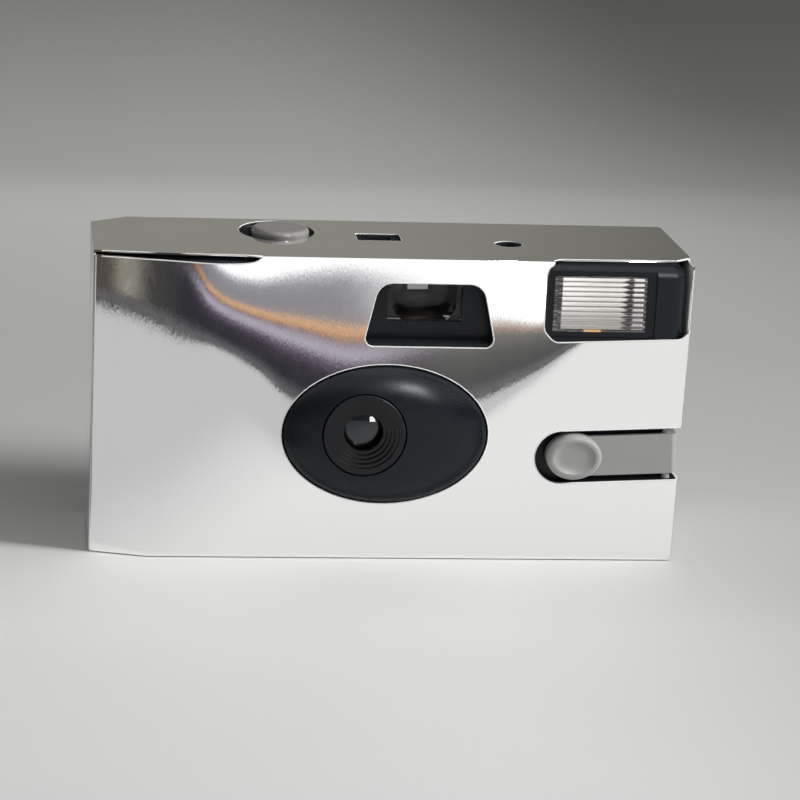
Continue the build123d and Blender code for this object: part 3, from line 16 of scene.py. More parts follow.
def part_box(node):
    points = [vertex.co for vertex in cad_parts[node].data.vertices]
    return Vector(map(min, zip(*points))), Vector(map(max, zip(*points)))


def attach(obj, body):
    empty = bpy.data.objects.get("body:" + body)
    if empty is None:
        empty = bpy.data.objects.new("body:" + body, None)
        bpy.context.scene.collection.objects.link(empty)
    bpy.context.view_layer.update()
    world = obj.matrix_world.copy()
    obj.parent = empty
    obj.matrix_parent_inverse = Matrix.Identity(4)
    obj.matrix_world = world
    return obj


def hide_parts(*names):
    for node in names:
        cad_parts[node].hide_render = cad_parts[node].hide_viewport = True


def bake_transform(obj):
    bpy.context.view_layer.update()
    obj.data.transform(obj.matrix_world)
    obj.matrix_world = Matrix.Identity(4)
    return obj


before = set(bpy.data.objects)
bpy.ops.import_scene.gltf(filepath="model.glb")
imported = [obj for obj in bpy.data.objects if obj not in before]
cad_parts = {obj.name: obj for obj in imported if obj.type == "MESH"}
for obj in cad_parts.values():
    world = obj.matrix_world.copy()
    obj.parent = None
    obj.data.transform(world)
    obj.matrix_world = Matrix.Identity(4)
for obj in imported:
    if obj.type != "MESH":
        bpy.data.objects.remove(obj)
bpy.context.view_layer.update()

MM = 0.001

# %% [markdown]
# A node tree is quicker to read when each node is one line. These helpers make a node with its
# settings and inputs, do a sum, mix colours and fade between two values. Colours are written as
# the 0 to 255 numbers that a paint chart gives, and turned into the linear ones of a shader.

# %% Short hands for node trees
def tone(*levels):
    """A screen colour as linear RGBA: one grey level, or red, green and blue, from 0 to 255."""
    shares = [level / 255 for level in (levels if len(levels) == 3 else levels * 3)]
    return tuple(share / 12.92 if share <= 0.04045 else ((share + 0.055) / 1.055) ** 2.4
                 for share in shares) + (1.0,)


def fill(made, inputs):
    """Set inputs of a node to values, or link them to sockets."""
    for name, value in inputs.items():
        if isinstance(value, bpy.types.NodeSocket):
            made.id_data.links.new(value, made.inputs[name])
        else:
            made.inputs[name].default_value = value


def feed(made, **inputs):
    """The same for inputs given as words, where an underscore stands for a space."""
    fill(made, {name.replace("_", " "): value for name, value in inputs.items()})


def node(tree, kind, inputs=None, **settings):
    """One node, with its settings and its inputs."""
    made = tree.nodes.new(kind)
    for name, value in settings.items():
        setattr(made, name, value)
    fill(made, inputs or {})
    return made


def maths(tree, operation, *values):
    return node(tree, "ShaderNodeMath", dict(enumerate(values)), operation=operation).outputs[0]


def times(tree, *values):
    return functools.reduce(lambda a, b: maths(tree, "MULTIPLY", a, b), values)


def largest(tree, *values):
    return functools.reduce(lambda a, b: maths(tree, "MAXIMUM", a, b), values)


def vectors(tree, operation, *values, output=0):
    made = node(tree, "ShaderNodeVectorMath", dict(enumerate(values)), operation=operation)
    return made.outputs[output]


def scaled(tree, vector, factor):
    return node(tree, "ShaderNodeVectorMath", {0: vector, 3: factor}, operation="SCALE").outputs[0]


def axes(tree, vector):
    """The x, y and z of a vector."""
    return node(tree, "ShaderNodeSeparateXYZ", {0: vector}).outputs


def axes_mm(tree, place):
    return axes(tree, scaled(tree, place, 1 / MM))


def mixed(tree, share, first, second):
    """The first colour with a share of the second."""
    made = node(tree, "ShaderNodeMix", {0: share, 6: first, 7: second}, data_type="RGBA")
    return made.outputs[2]


def layered(tree, ground, *layers):
    """Colours laid over a ground one after the other, each with its own share."""
    for share, colour in layers:
        ground = mixed(tree, share, ground, colour)
    return ground


def fade(tree, value, low, high, start=0.0, end=1.0):
    """A soft step from start to end as value goes from low to high."""
    made = node(tree, "ShaderNodeMapRange", {0: value, 1: low, 2: high, 3: start, 4: end},
                interpolation_type="SMOOTHSTEP")
    return made.outputs[0]


def ramp(tree, value, low, high, steps):
    """A colour ramp: each step is a place between low and high, and the levels of its tone."""
    share = node(tree, "ShaderNodeMapRange", {0: value, 1: low, 2: high}).outputs[0]
    made = node(tree, "ShaderNodeValToRGB", {0: share})
    stops = made.color_ramp.elements
    while len(stops) < len(steps):
        stops.new(0.5)
    for stop, (place, *levels) in zip(stops, steps):
        stop.position = (place - low) / (high - low)
        stop.color = levels if len(levels) == 4 else tone(*levels)
    return made.outputs[0]


print("helpers ready; mid grey 128 is linear", round(tone(128)[0], 3))

# %% [markdown]
# Several finishes share an effect: the fine grain of a mould, a slow drift in tone, specks of
# dust, and the streaks of rolled metal. Each one is a shader node group with named inputs, built
# once here. A group gives only masks, colours or heights, and the shader stays in the material.

# %% Shared effects as node groups
def new_group(name, inputs, **outputs):
    """A shader node group that works on Place, with its input and output sockets."""
    group = bpy.data.node_groups.new(name, "ShaderNodeTree")
    for label, kind, start in [("Place", "Vector", None), *inputs]:
        socket = group.interface.new_socket(label, in_out="INPUT", socket_type="NodeSocket" + kind)
        if start is not None:
            socket.default_value = start
    for label, kind in outputs.items():
        group.interface.new_socket(label, in_out="OUTPUT", socket_type="NodeSocket" + kind)
    given = group.nodes.new("NodeGroupInput").outputs
    return group, given, group.nodes.new("NodeGroupOutput").inputs


def noise(tree, place, scale, detail=2.0, roughness=0.5, output=0):
    made = node(tree, "ShaderNodeTexNoise",
                {"Vector": place, "Scale": scale, "Detail": detail, "Roughness": roughness})
    return made.outputs[output]


def per_metre(tree, size_mm):
    """A noise scale for a feature of that many millimetres."""
    return maths(tree, "DIVIDE", 1000.0, size_mm)


GRAIN, given, out = new_group(
    "moulded_grain", [("Size mm", "Float", 0.3), ("Softness", "Float", 0.5)],
    Height="Float", Shine="Float")
fine = noise(GRAIN, given["Place"], per_metre(GRAIN, given["Size mm"]), 3.0, given["Softness"])
wide = noise(GRAIN, given["Place"], per_metre(GRAIN, times(GRAIN, given["Size mm"], 40.0)))
GRAIN.links.new(fine, out["Height"])
GRAIN.links.new(maths(GRAIN, "SUBTRACT", maths(GRAIN, "ADD", fine, wide), 1.0), out["Shine"])

DRIFT, given, out = new_group(
    "slow_tone",
    [("Colour", "Color", None), ("Size mm", "Float", 15.0), ("Change", "Float", 0.1)],
    Colour="Color")
swing = noise(DRIFT, given["Place"], per_metre(DRIFT, given["Size mm"]), 4.0, 0.6)
swing = maths(DRIFT, "MULTIPLY_ADD", maths(DRIFT, "SUBTRACT", swing, 0.5), given["Change"], 1.0)
DRIFT.links.new(scaled(DRIFT, given["Colour"], swing), out["Colour"])

DUST, given, out = new_group(
    "dust_specks", [("Spacing mm", "Float", 3.0), ("Amount", "Float", 0.3)], Mask="Float")
cells = node(DUST, "ShaderNodeTexVoronoi",
             {"Vector": given["Place"], "Scale": per_metre(DUST, given["Spacing mm"])}).outputs
chosen = node(DUST, "ShaderNodeSeparateColor", {0: cells["Color"]}).outputs
near = maths(DUST, "LESS_THAN", cells["Distance"], times(DUST, chosen[1], 0.07))
there = maths(DUST, "LESS_THAN", chosen[0], given["Amount"])
DUST.links.new(times(DUST, near, there), out["Mask"])

STREAKS, given, out = new_group(
    "rolled_streaks", [("Stretch", "Vector", (1.0, 1.0, 1.0)), ("Size mm", "Float", 0.2)],
    Height="Float", Shade="Float")
pulled = vectors(STREAKS, "MULTIPLY", given["Place"], given["Stretch"])
lines = noise(STREAKS, pulled, per_metre(STREAKS, given["Size mm"]), 4.0, 0.7)
STREAKS.links.new(lines, out["Height"])
STREAKS.links.new(fade(STREAKS, lines, 0.25, 0.75), out["Shade"])

print("node groups:", [group.name for group in bpy.data.node_groups])

# %% [markdown]
# Most of the camera is injection-moulded plastic. Its skin copies the spark-worn mould, so it has
# a fine even grain, it is a little shinier where it was pressed hardest, and it picks up dust. One
# recipe with different numbers gives every plastic. Three places are special: the oval round the
# lens is very slightly domed, so its normal leans outwards towards the rim, the front cover is
# matt on top, and the pad of the switch has a painted highlight, a paler ring round its rim.

# %% Moulded plastics
def effect(tree, group, place, **inputs):
    """One of the shared effects in a material."""
    made = node(tree, "ShaderNodeGroup", node_tree=group)
    feed(made, Place=place, **inputs)
    return made.outputs


def facing(tree):
    """The x, y and z of the way that a face looks."""
    return axes(tree, node(tree, "ShaderNodeNewGeometry").outputs["True Normal"])


def from_middle(tree, place, middle):
    """How many mm a place lies to the right of a middle on the front, and above it."""
    x_mm, _, z_mm = axes_mm(tree, place)
    return [maths(tree, "SUBTRACT", way, start) for way, start in zip((x_mm, z_mm), middle)]


def oval_reach(tree, offsets, radii):
    """How far out a place lies in an oval: a share for each axis, and their squares added."""
    shares = [maths(tree, "DIVIDE", offset, radius) for offset, radius in zip(offsets, radii)]
    return shares, maths(tree, "ADD", *[times(tree, share, share) for share in shares])


BOSS_MIDDLE, BOSS_RADII, SWELL_SLOPE = (-0.7, 25.5), (20.5, 14.2), 1.1
SWELL, given, out = new_group("swelling_boss", [], Normal="Vector")
reach, squared = oval_reach(SWELL, from_middle(SWELL, given["Place"], BOSS_MIDDLE), BOSS_RADII)
strength = times(SWELL, fade(SWELL, facing(SWELL)[1], -0.8, -0.95),
                 fade(SWELL, squared, 1.02, 0.98), squared, SWELL_SLOPE)
lean = node(SWELL, "ShaderNodeCombineXYZ", {0: times(SWELL, reach[0], strength),
                                            2: times(SWELL, reach[1], strength)}).outputs[0]
face = node(SWELL, "ShaderNodeNewGeometry").outputs
SWELL.links.new(vectors(SWELL, "NORMALIZE", vectors(SWELL, "ADD", face["Normal"], lean)),
                out["Normal"])
FINISHES = {}


def new_finish(slot, **values):
    """A material for one slot of the record: its tree, its shader and the Object coordinates."""
    made = bpy.data.materials.new(slot)
    made.use_nodes = True
    shader = made.node_tree.nodes["Principled BSDF"]
    feed(shader, **values)
    FINISHES[slot] = made
    return made.node_tree, shader, made.node_tree.nodes.new("ShaderNodeTexCoord").outputs["Object"]


def bumped(tree, shader, height, depth_mm, under=None):
    """Heights from 0 to 1 become a bump that is depth_mm deep."""
    bump = node(tree, "ShaderNodeBump", {"Height": height, "Strength": 1.0,
                                         "Distance": depth_mm * MM})
    if under is not None:
        feed(bump, Normal=under)
    feed(shader, Normal=bump.outputs[0])


def moulded(slot, colour, roughness, grain_mm, depth_mm, dust=0.0, change=0.12, dome=None,
            shine=0.5):
    """Moulded plastic; dome is a group whose Normal output swells part of the surface."""
    tree, shader, place = new_finish(slot, Specular_IOR_Level=shine)
    skin = effect(tree, GRAIN, place, Size_mm=grain_mm)
    shade = effect(tree, DRIFT, place, Colour=colour, Change=change)["Colour"]
    specks = effect(tree, DUST, place, Amount=dust, Spacing_mm=2.4)["Mask"]
    pale = tuple(min(1.0, v * 1.6 + 0.12) for v in colour[:3]) + (1.0,)
    rough = maths(tree, "MULTIPLY_ADD", skin["Shine"], 0.22, roughness)
    feed(shader, Base_Color=mixed(tree, specks, shade, pale),
         Roughness=maths(tree, "ADD", rough, times(tree, specks, 0.3)))
    under = effect(tree, dome, place)["Normal"] if dome else None
    bumped(tree, shader, skin["Height"], depth_mm, under)
    return tree, shader, place


moulded("black_plastic", tone(9, 13, 18), 0.30, 0.22, 0.003, dust=0.03, change=0.3, shine=0.25)
moulded("frame_plastic", tone(6, 7, 8), 0.46, 0.30, 0.006, change=0.3, shine=0.2)
moulded("ring_plastic", tone(9, 12, 16), 0.22, 0.22, 0.002, change=0.3, shine=0.28)
moulded("white_plastic", tone(222, 221, 214), 0.42, 0.35, 0.006)
moulded("grey_plastic", tone(136, 135, 132), 0.20, 0.20, 0.002, dust=0.02, change=0.08)
moulded("part_plastic", tone(38, 40, 44), 0.30, 0.25, 0.004, change=0.3)
moulded("resistor_body", tone(196, 170, 122), 0.38, 0.15, 0.004, change=0.25)

tree, shader, place = moulded("front_plastic", tone(14, 20, 26), 0.30, 0.22, 0.003, dust=0.02,
                              change=0.3, dome=SWELL, shine=0.26)
gloss = shader.inputs["Roughness"].links[0].from_socket
feed(shader, Roughness=largest(tree, gloss, fade(tree, facing(tree)[2], 0.95, 0.985)))

PAD_MIDDLE, PAD_RADII, PAD_TILT, PAD_RIM_HIGHLIGHT = (37.1, 21.3), (5.5, 4.5), math.radians(2.5), 0.15
tree, shader, place = moulded("switch_plastic", tone(150, 151, 148), 0.40, 0.20, 0.004, dust=0.02,
                              change=0.08)
across, upward = from_middle(tree, place, PAD_MIDDLE)
along = maths(tree, "MULTIPLY_ADD", upward, math.sin(PAD_TILT), across)
square_on = maths(tree, "MULTIPLY_ADD", across, -math.sin(PAD_TILT), upward)
squared = oval_reach(tree, (along, square_on), PAD_RADII)[1]
# The paler ring round the pad's rim is a painted highlight.
rim = times(tree, fade(tree, squared, 0.72, 0.86), fade(tree, squared, 1.05, 0.98), PAD_RIM_HIGHLIGHT)
colour = shader.inputs["Base Color"].links[0].from_socket
feed(shader, Base_Color=mixed(tree, rim, colour, tone(186, 187, 185)))
print("moulded finishes:", sorted(FINISHES))

# %% [markdown]
# The thin metal pieces are strip and wire. Rolling leaves long streaks, which stretch the
# highlight, and handling leaves it a little cloudy. The streaks run along the piece, so each
# metal says by how much its pattern is pulled out in each direction.

# %% Rolled and drawn metals
def rolled(slot, colour, roughness, stretch, size_mm, change=0.25):
    tree, shader, place = new_finish(slot, Metallic=1.0)
    run = effect(tree, STREAKS, place, Stretch=stretch, Size_mm=size_mm)
    shade = effect(tree, DRIFT, place, Colour=colour, Size_mm=4.0, Change=change)["Colour"]
    dark = tuple(v * 0.72 for v in colour[:3]) + (1.0,)
    feed(shader, Base_Color=mixed(tree, times(tree, run["Shade"], 0.35), shade, dark),
         Roughness=maths(tree, "MULTIPLY_ADD", run["Shade"], 0.14, roughness))
    bumped(tree, shader, run["Height"], 0.003)


rolled("blade_steel", tone(26, 27, 30), 0.38, (1.0, 1.0, 0.08), 0.20)
rolled("spring_steel", tone(196, 194, 190), 0.24, (1.0, 1.0, 1.0), 0.25)
rolled("contact_metal", tone(214, 190, 140), 0.26, (0.1, 1.0, 1.0), 0.20)
rolled("cartridge_metal", tone(188, 190, 192), 0.28, (1.0, 1.0, 0.05), 0.30)
rolled("reflector_foil", tone(244, 242, 238), 0.34, (0.06, 1.0, 1.0), 0.25, change=0.08)
print("metals added:", len(FINISHES), "finishes so far")

# %% [markdown]
# The wraps and films inside each have a pattern of their own: printed copper tracks under green
# lacquer, the plastic wrap of the battery and capacitor, enamelled wire on the coils, and film
# base with its perforated edge. They are seen only through the openings, but each carries its
# real pattern at its real pitch.

# %% Wraps, board, coils and film
def banded(slot, first, second, direction, pitch_mm, share, roughness, depth=0.004):
    """Bands of two colours along one axis, with a share of the second."""
    tree, shader, place = new_finish(slot)
    way = vectors(tree, "DOT_PRODUCT", place, direction, output=1)
    ripple = maths(tree, "SINE", times(tree, way, 2 * math.pi / (pitch_mm * MM)))
    edge = 1 - 2 * share
    band = fade(tree, ripple, edge - 0.15, edge + 0.15)
    shade = effect(tree, DRIFT, place, Colour=first, Size_mm=5.0)["Colour"]
    skin = effect(tree, GRAIN, place, Size_mm=0.25)
    feed(shader, Base_Color=mixed(tree, band, shade, second),
         Roughness=maths(tree, "MULTIPLY_ADD", skin["Shine"], 0.15, roughness))
    bumped(tree, shader, maths(tree, "MULTIPLY_ADD", skin["Height"], 0.3, band), depth)


UP, ALONG = (0.0, 0.0, 1.0), (1.0, 0.0, 0.0)
banded("capacitor_wrap", tone(28, 30, 44), tone(96, 98, 108), ALONG, 9.0, 0.12, 0.28)
banded("battery_wrap", tone(52, 54, 58), tone(176, 122, 60), ALONG, 60.0, 0.25, 0.26)
banded("coil_wrap", tone(132, 70, 34), tone(176, 104, 52), UP, 0.24, 0.5, 0.32, depth=0.05)
banded("film", tone(38, 30, 26), tone(84, 70, 58), ALONG, 19.0, 0.06, 0.30)

tree, shader, place = new_finish("board_laminate", Coat_Weight=0.4, Coat_Roughness=0.15)
cells = node(tree, "ShaderNodeTexVoronoi", {"Vector": place, "Scale": 260.0}, distance="MANHATTAN")
tracks = fade(tree, cells.outputs["Distance"], 0.42, 0.50)
weave = effect(tree, GRAIN, place, Size_mm=0.4)
feed(shader, Base_Color=mixed(tree, tracks, tone(46, 84, 52), tone(92, 128, 70)),
     Roughness=maths(tree, "MULTIPLY_ADD", weave["Shine"], 0.2, 0.42))
bumped(tree, shader, maths(tree, "ADD", tracks, weave["Height"]), 0.02)
print("wraps and films added:", len(FINISHES), "finishes so far")

# %% [markdown]
# The lenses, the finder, the flash window, the tube and the lamp are clear or tinted plastic and
# glass. Plain glass blocks the lamps, so the reflector behind it would be black. A Mix Shader
# that turns clear for shadow rays lets the light in, and the surface keeps its own reflections.

# %% Clear plastic and glass
def surface(tree, share, first, second):
    """The surface shows the first shader with a share of the second."""
    both = node(tree, "ShaderNodeMixShader", {0: share, 1: first.outputs[0], 2: second.outputs[0]})
    feed(tree.nodes["Material Output"], Surface=both.outputs[0])


def open_to_lamps(tree, shader, colour):
    shadow = node(tree, "ShaderNodeLightPath").outputs["Is Shadow Ray"]
    surface(tree, shadow, shader, node(tree, "ShaderNodeBsdfTransparent", {"Color": colour}))


def clear(slot, colour, roughness, ior, dust=0.15, wave_mm=0.0015, gleam=1.0):
    """Clear plastic or glass; wave_mm is the depth of its ripple, gleam dims its reflection."""
    tree, shader, place = new_finish(slot, Transmission_Weight=1.0, IOR=ior,
                                     Specular_Tint=(gleam, gleam, gleam, 1.0))
    specks = effect(tree, DUST, place, Amount=dust, Spacing_mm=1.6)["Mask"]
    shade = effect(tree, DRIFT, place, Colour=colour, Change=0.03)["Colour"]
    feed(shader, Base_Color=shade, Roughness=maths(tree, "MULTIPLY_ADD", specks, 0.35, roughness))
    if wave_mm > 0:
        skin = effect(tree, GRAIN, place, Size_mm=4.0, Softness=0.2)
        bumped(tree, shader, skin["Height"], wave_mm)
    open_to_lamps(tree, shader, colour)


clear("clear_plastic", tone(250, 251, 252), 0.012, 1.49, wave_mm=0.0006)
clear("lens_plastic", tone(150, 158, 170), 0.01, 1.70, dust=0.0, wave_mm=0.0, gleam=0.7)
clear("finder_plastic", tone(236, 239, 242), 0.004, 2.05, dust=0.05, wave_mm=0.0, gleam=0.15)
clear("tube_glass", tone(246, 240, 226), 0.05, 1.47)
clear("lamp_lens", tone(236, 150, 60), 0.12, 1.50)
print("clear finishes added:", len(FINISHES), "finishes so far")

# %% [markdown]
# The flash window has ribs across it. They spread what is behind into rows, and these rows are
# painted into the window's colour: a painted reflection of the bright reflector, dimmer towards its
# lower edge by painted shade, its dark end on the right as a painted dark patch, and painted stripes
# past that. Round them the clear side walls of the window are painted dark, the lowest one has a
# painted patch of the amber lamp's light, and grey lines of painted shade run along the grooves.

# %% The ribbed flash window
RIB_PITCH, FIRST_RIB = 1.018, 46.8
LEFT_WALL, RIGHT_WALL, LOW_WALL, HIGH_WALL = (33.3, 33.0), (49.35, 49.6), (47.5, 47.3), (57.6, 57.8)
AMBER_LEFT, AMBER_RIGHT = (37.6, 38.0), (41.4, 41.0)
PAINTED_DARK_END_BORDER, STRIPES_BORDER = (43.9, 44.9), (47.6, 48.2)
tree, shader, place = new_finish("flash_prism", Transmission_Weight=0.04, IOR=1.49,
                                 Coat_Weight=0.6, Coat_Roughness=0.05)
x_mm, _, z_mm = axes_mm(tree, place)
turns = times(tree, maths(tree, "SUBTRACT", z_mm, FIRST_RIB), 2 * math.pi / RIB_PITCH)
crest = maths(tree, "COSINE", turns)
# Grey lines of painted shade along the grooves between the ribs.
grooves = fade(tree, crest, 0.35, 0.95)
smears = noise(tree, vectors(tree, "MULTIPLY", place, (0.25, 1.0, 3.0)), 900.0, 3.0, 0.6)
jagged = maths(tree, "MULTIPLY_ADD", crest, -0.55, times(tree, smears, 2.4))
# A painted dark patch stands for the reflector's dark end, with painted stripes past it.
painted_dark_end = fade(tree, maths(tree, "SUBTRACT", x_mm, jagged), *PAINTED_DARK_END_BORDER)
past_painted_dark_end = fade(tree, maths(tree, "MULTIPLY_ADD", smears, 1.2, x_mm), *STRIPES_BORDER)
stripes = mixed(tree, fade(tree, crest, -0.3, 0.3), tone(232, 226, 222), tone(92, 88, 90))
# The clear side walls are painted dark, with paler smears.
painted_wall_mask = largest(tree, fade(tree, x_mm, *LEFT_WALL), fade(tree, x_mm, *RIGHT_WALL),
                fade(tree, z_mm, *LOW_WALL), fade(tree, z_mm, *HIGH_WALL))
painted_wall_colour = mixed(tree, fade(tree, smears, 0.5, 0.62), tone(38, 37, 40), tone(122, 118, 120))
# A painted patch of the amber lamp's light.
painted_amber_glow = times(tree, fade(tree, x_mm, *AMBER_LEFT), fade(tree, x_mm, *AMBER_RIGHT),
              fade(tree, z_mm, *LOW_WALL))
# A painted reflection of the bright reflector; painted shade dims its lower rows.
painted_reflector_light = mixed(tree, fade(tree, x_mm, 33.5, 43.0), tone(255, 253, 250), tone(236, 232, 227))
shown = layered(tree, painted_reflector_light, (grooves, tone(150, 147, 144)),
                (times(tree, fade(tree, smears, 0.45, 0.7), 0.35), tone(206, 200, 193)),
                (fade(tree, z_mm, 52.5, 48.0, 0.0, 0.5), tone(128, 124, 120)),
                (painted_dark_end, tone(44, 43, 47)), (past_painted_dark_end, stripes), (painted_wall_mask, painted_wall_colour),
                (painted_amber_glow, tone(232, 178, 118)))
feed(shader, Base_Color=shown, Roughness=maths(tree, "MULTIPLY_ADD", grooves, 0.2, 0.18))
bumped(tree, shader, crest, 0.05)
open_to_lamps(tree, shader, tone(250, 249, 246))
print("the flash window shows", round((HIGH_WALL[0] - LOW_WALL[0]) / RIB_PITCH), "ribs")

# %% [markdown]
# The sleeve is white card with mirror foil on its outer side only. So the finish needs a mask:
# foil where the face looks outwards, bare card on the cut edges of the windows and on the inside.
# A cut edge is square to the way out from the middle of the sleeve, and that is what the mask
# compares, so it needs no painting by hand.

# %% The card's foil side and its bare edges
SLEEVE_HALF = Vector((58.5, 17.0, 30.5)) * MM
SLEEVE_MIDDLE = Vector((0.0, 0.0, 30.5)) * MM
CORE = SLEEVE_HALF - Vector((8.0, 8.0, 8.0)) * MM

SKIN, given, out = new_group("foil_side", [], Mask="Float")
off_middle = vectors(SKIN, "SUBTRACT", given["Place"], tuple(SLEEVE_MIDDLE))
inside = vectors(SKIN, "MAXIMUM", vectors(SKIN, "MINIMUM", off_middle, tuple(CORE)), tuple(-CORE))
outwards = vectors(SKIN, "NORMALIZE", vectors(SKIN, "SUBTRACT", off_middle, inside))
face = node(SKIN, "ShaderNodeNewGeometry").outputs
agrees = vectors(SKIN, "DOT_PRODUCT", outwards, face["True Normal"], output=1)
SKIN.links.new(fade(SKIN, agrees, 0.35, 0.45), out["Mask"])
print("foil mask compares faces with a core of", [round(v / MM, 1) for v in CORE * 2], "mm")

# %% [markdown]
# A folded card sleeve is never flat. Its front bows back towards the top fold, so the lower part
# mirrors the pale table and the upper part mirrors the room: first a dark band that dips in the
# middle like a smile, then streaks, then the bright soft box. Modelling half a millimetre of bow
# would need a dense mesh, and a bump pattern would lose its slope in float steps, so the slope
# itself is worked out and added to the normal. Two curves say at which height each part of the
# front begins to see the horizon, and where it sees the first streak. Two noises are added to it:
# a slow wobble of the card, and short strokes that make the border of a dark reflection grainy.

# %% How the front of the sleeve bows
HALF_SPAN = 60.0
HORIZON_HEIGHTS = [(-60, 54.0), (-47, 50.0), (-37, 45.5), (-27, 39.5), (-20, 34.0), (-2, 28.0),
                   (17, 33.5), (28, 38.8), (36, 44.5), (60, 58.0)]
STREAK_HEIGHTS = [(-60, 70.0), (-44, 69.0), (-39, 61.5), (-35, 54.5), (-28, 50.7), (-18, 49.6),
                  (-5, 48.9), (19, 47.5), (31, 48.0), (60, 66.0)]
WAVE_MM, STROKE_MM, STROKE_STRETCH = 30.0, 0.32, (1.0, 1.0, 0.55)


def height_curve(tree, along, points):
    """The height in mm at each place across the front, through a few given points."""
    made = node(tree, "ShaderNodeFloatCurve", {"Value": along})
    curve = made.mapping.curves[0]
    while len(curve.points) < len(points):
        curve.points.new(0.5, 0.5)
    for point, (x, z) in zip(curve.points, points):
        point.location = ((x + HALF_SPAN) / (2 * HALF_SPAN), z / 100)
    made.mapping.update()
    return times(tree, made.outputs[0], 100.0)


def slope_of(tree, degrees, share):
    return times(tree, maths(tree, "TANGENT", maths(tree, "RADIANS", degrees)), share)


BOW, given, out = new_group(
    "bowed_front",
    [("Turn", "Float", 0.14), ("Wobble", "Float", 0.05), ("Strokes", "Float", 0.023)],
    Normal="Vector")
x_mm, y_mm, z_mm = axes_mm(BOW, given["Place"])
along = maths(BOW, "MULTIPLY_ADD", x_mm, 0.5 / HALF_SPAN, 0.5)
horizon = height_curve(BOW, along, HORIZON_HEIGHTS)
streak = height_curve(BOW, along, STREAK_HEIGHTS)
share = maths(BOW, "DIVIDE", maths(BOW, "SUBTRACT", z_mm, horizon),
              maths(BOW, "SUBTRACT", streak, horizon))
lifted = maths(BOW, "ADD", share, 1.012)
round_in = maths(BOW, "SQRT", maths(BOW, "MULTIPLY_ADD", lifted, lifted, 0.16))
degrees_up = times(BOW, maths(BOW, "ADD", lifted, round_in), 3.5)
degrees_side = times(BOW, x_mm, given["Turn"], fade(BOW, share, -1.0, 0.0))
on_front = times(BOW, fade(BOW, facing(BOW)[1], -0.80, -0.93), fade(BOW, y_mm, -12.0, -13.0))
slope = node(BOW, "ShaderNodeCombineXYZ", {0: slope_of(BOW, degrees_side, on_front),
                                           2: slope_of(BOW, degrees_up, on_front)})
straight = node(BOW, "ShaderNodeCombineXYZ", {1: -1.0}).outputs[0]
face = node(BOW, "ShaderNodeNewGeometry").outputs
own = node(BOW, "ShaderNodeMix", {0: on_front, 4: face["Normal"], 5: straight},
           data_type="VECTOR")
leaning = vectors(BOW, "ADD", own.outputs[1], slope.outputs[0])
pulled = vectors(BOW, "MULTIPLY", given["Place"], STROKE_STRETCH)
for place, size_mm, detail, amount in ((given["Place"], WAVE_MM, 1.0, given["Wobble"]),
                                       (pulled, STROKE_MM, 1.5, given["Strokes"])):
    wave = noise(BOW, place, 1 / (size_mm * MM), detail, output=1)
    wave = vectors(BOW, "SUBTRACT", wave, (0.5, 0.5, 0.5))
    wave = vectors(BOW, "MULTIPLY", wave, (0.3, 1.0, 1.0))
    leaning = vectors(BOW, "ADD", leaning, scaled(BOW, wave, amount))
BOW.links.new(vectors(BOW, "NORMALIZE", leaning), out["Normal"])
print("the front sees the horizon from", HORIZON_HEIGHTS[5][1], "mm up in its middle")

# %% [markdown]
# The foil is nearly a perfect mirror, with the paper fibres under it. The bare card is matt white
# with loose fibres. At the edges of the holes in the top it is darkened to grey: painted shade.

# %% Mirror foil on card
FOIL_ROUGH, CARD_ROUGH = 0.035, 0.8
tree, shader, place = new_finish("foil_card")
foil = effect(tree, SKIN, place)["Mask"]
bow = effect(tree, BOW, place)["Normal"]
strokes = effect(tree, STREAKS, place, Stretch=(1.0, 1.0, 0.45), Size_mm=1.6)
fibres = effect(tree, GRAIN, place, Size_mm=0.15)
silver = effect(tree, DRIFT, place, Colour=tone(246), Change=0.03)["Colour"]
_, y_mm, z_mm = axes_mm(tree, place)
# Painted shade: the bare card at the edges of the holes in the top is darkened to grey.
painted_hole_shade = times(tree, fade(tree, z_mm, 59.8, 60.2), fade(tree, y_mm, -12.0, -11.0))
bare = mixed(tree, painted_hole_shade, tone(240, 239, 235), tone(70, 69, 66))
gloss = times(tree, foil, maths(tree, "MULTIPLY_ADD", strokes["Shade"], 0.05, FOIL_ROUGH))
matt = times(tree, maths(tree, "SUBTRACT", 1.0, foil), CARD_ROUGH)
feed(shader, Base_Color=mixed(tree, foil, bare, silver), Metallic=foil,
     Roughness=maths(tree, "ADD", gloss, matt))
bumped(tree, shader, fibres["Height"], 0.0012, under=bow)
print("foil finish has", len(tree.nodes), "nodes")

# %% [markdown]
# Each CAD node now gets the finish of its slot. The shapes are right already, so nothing is
# replaced: only the material in the node's own slot changes.

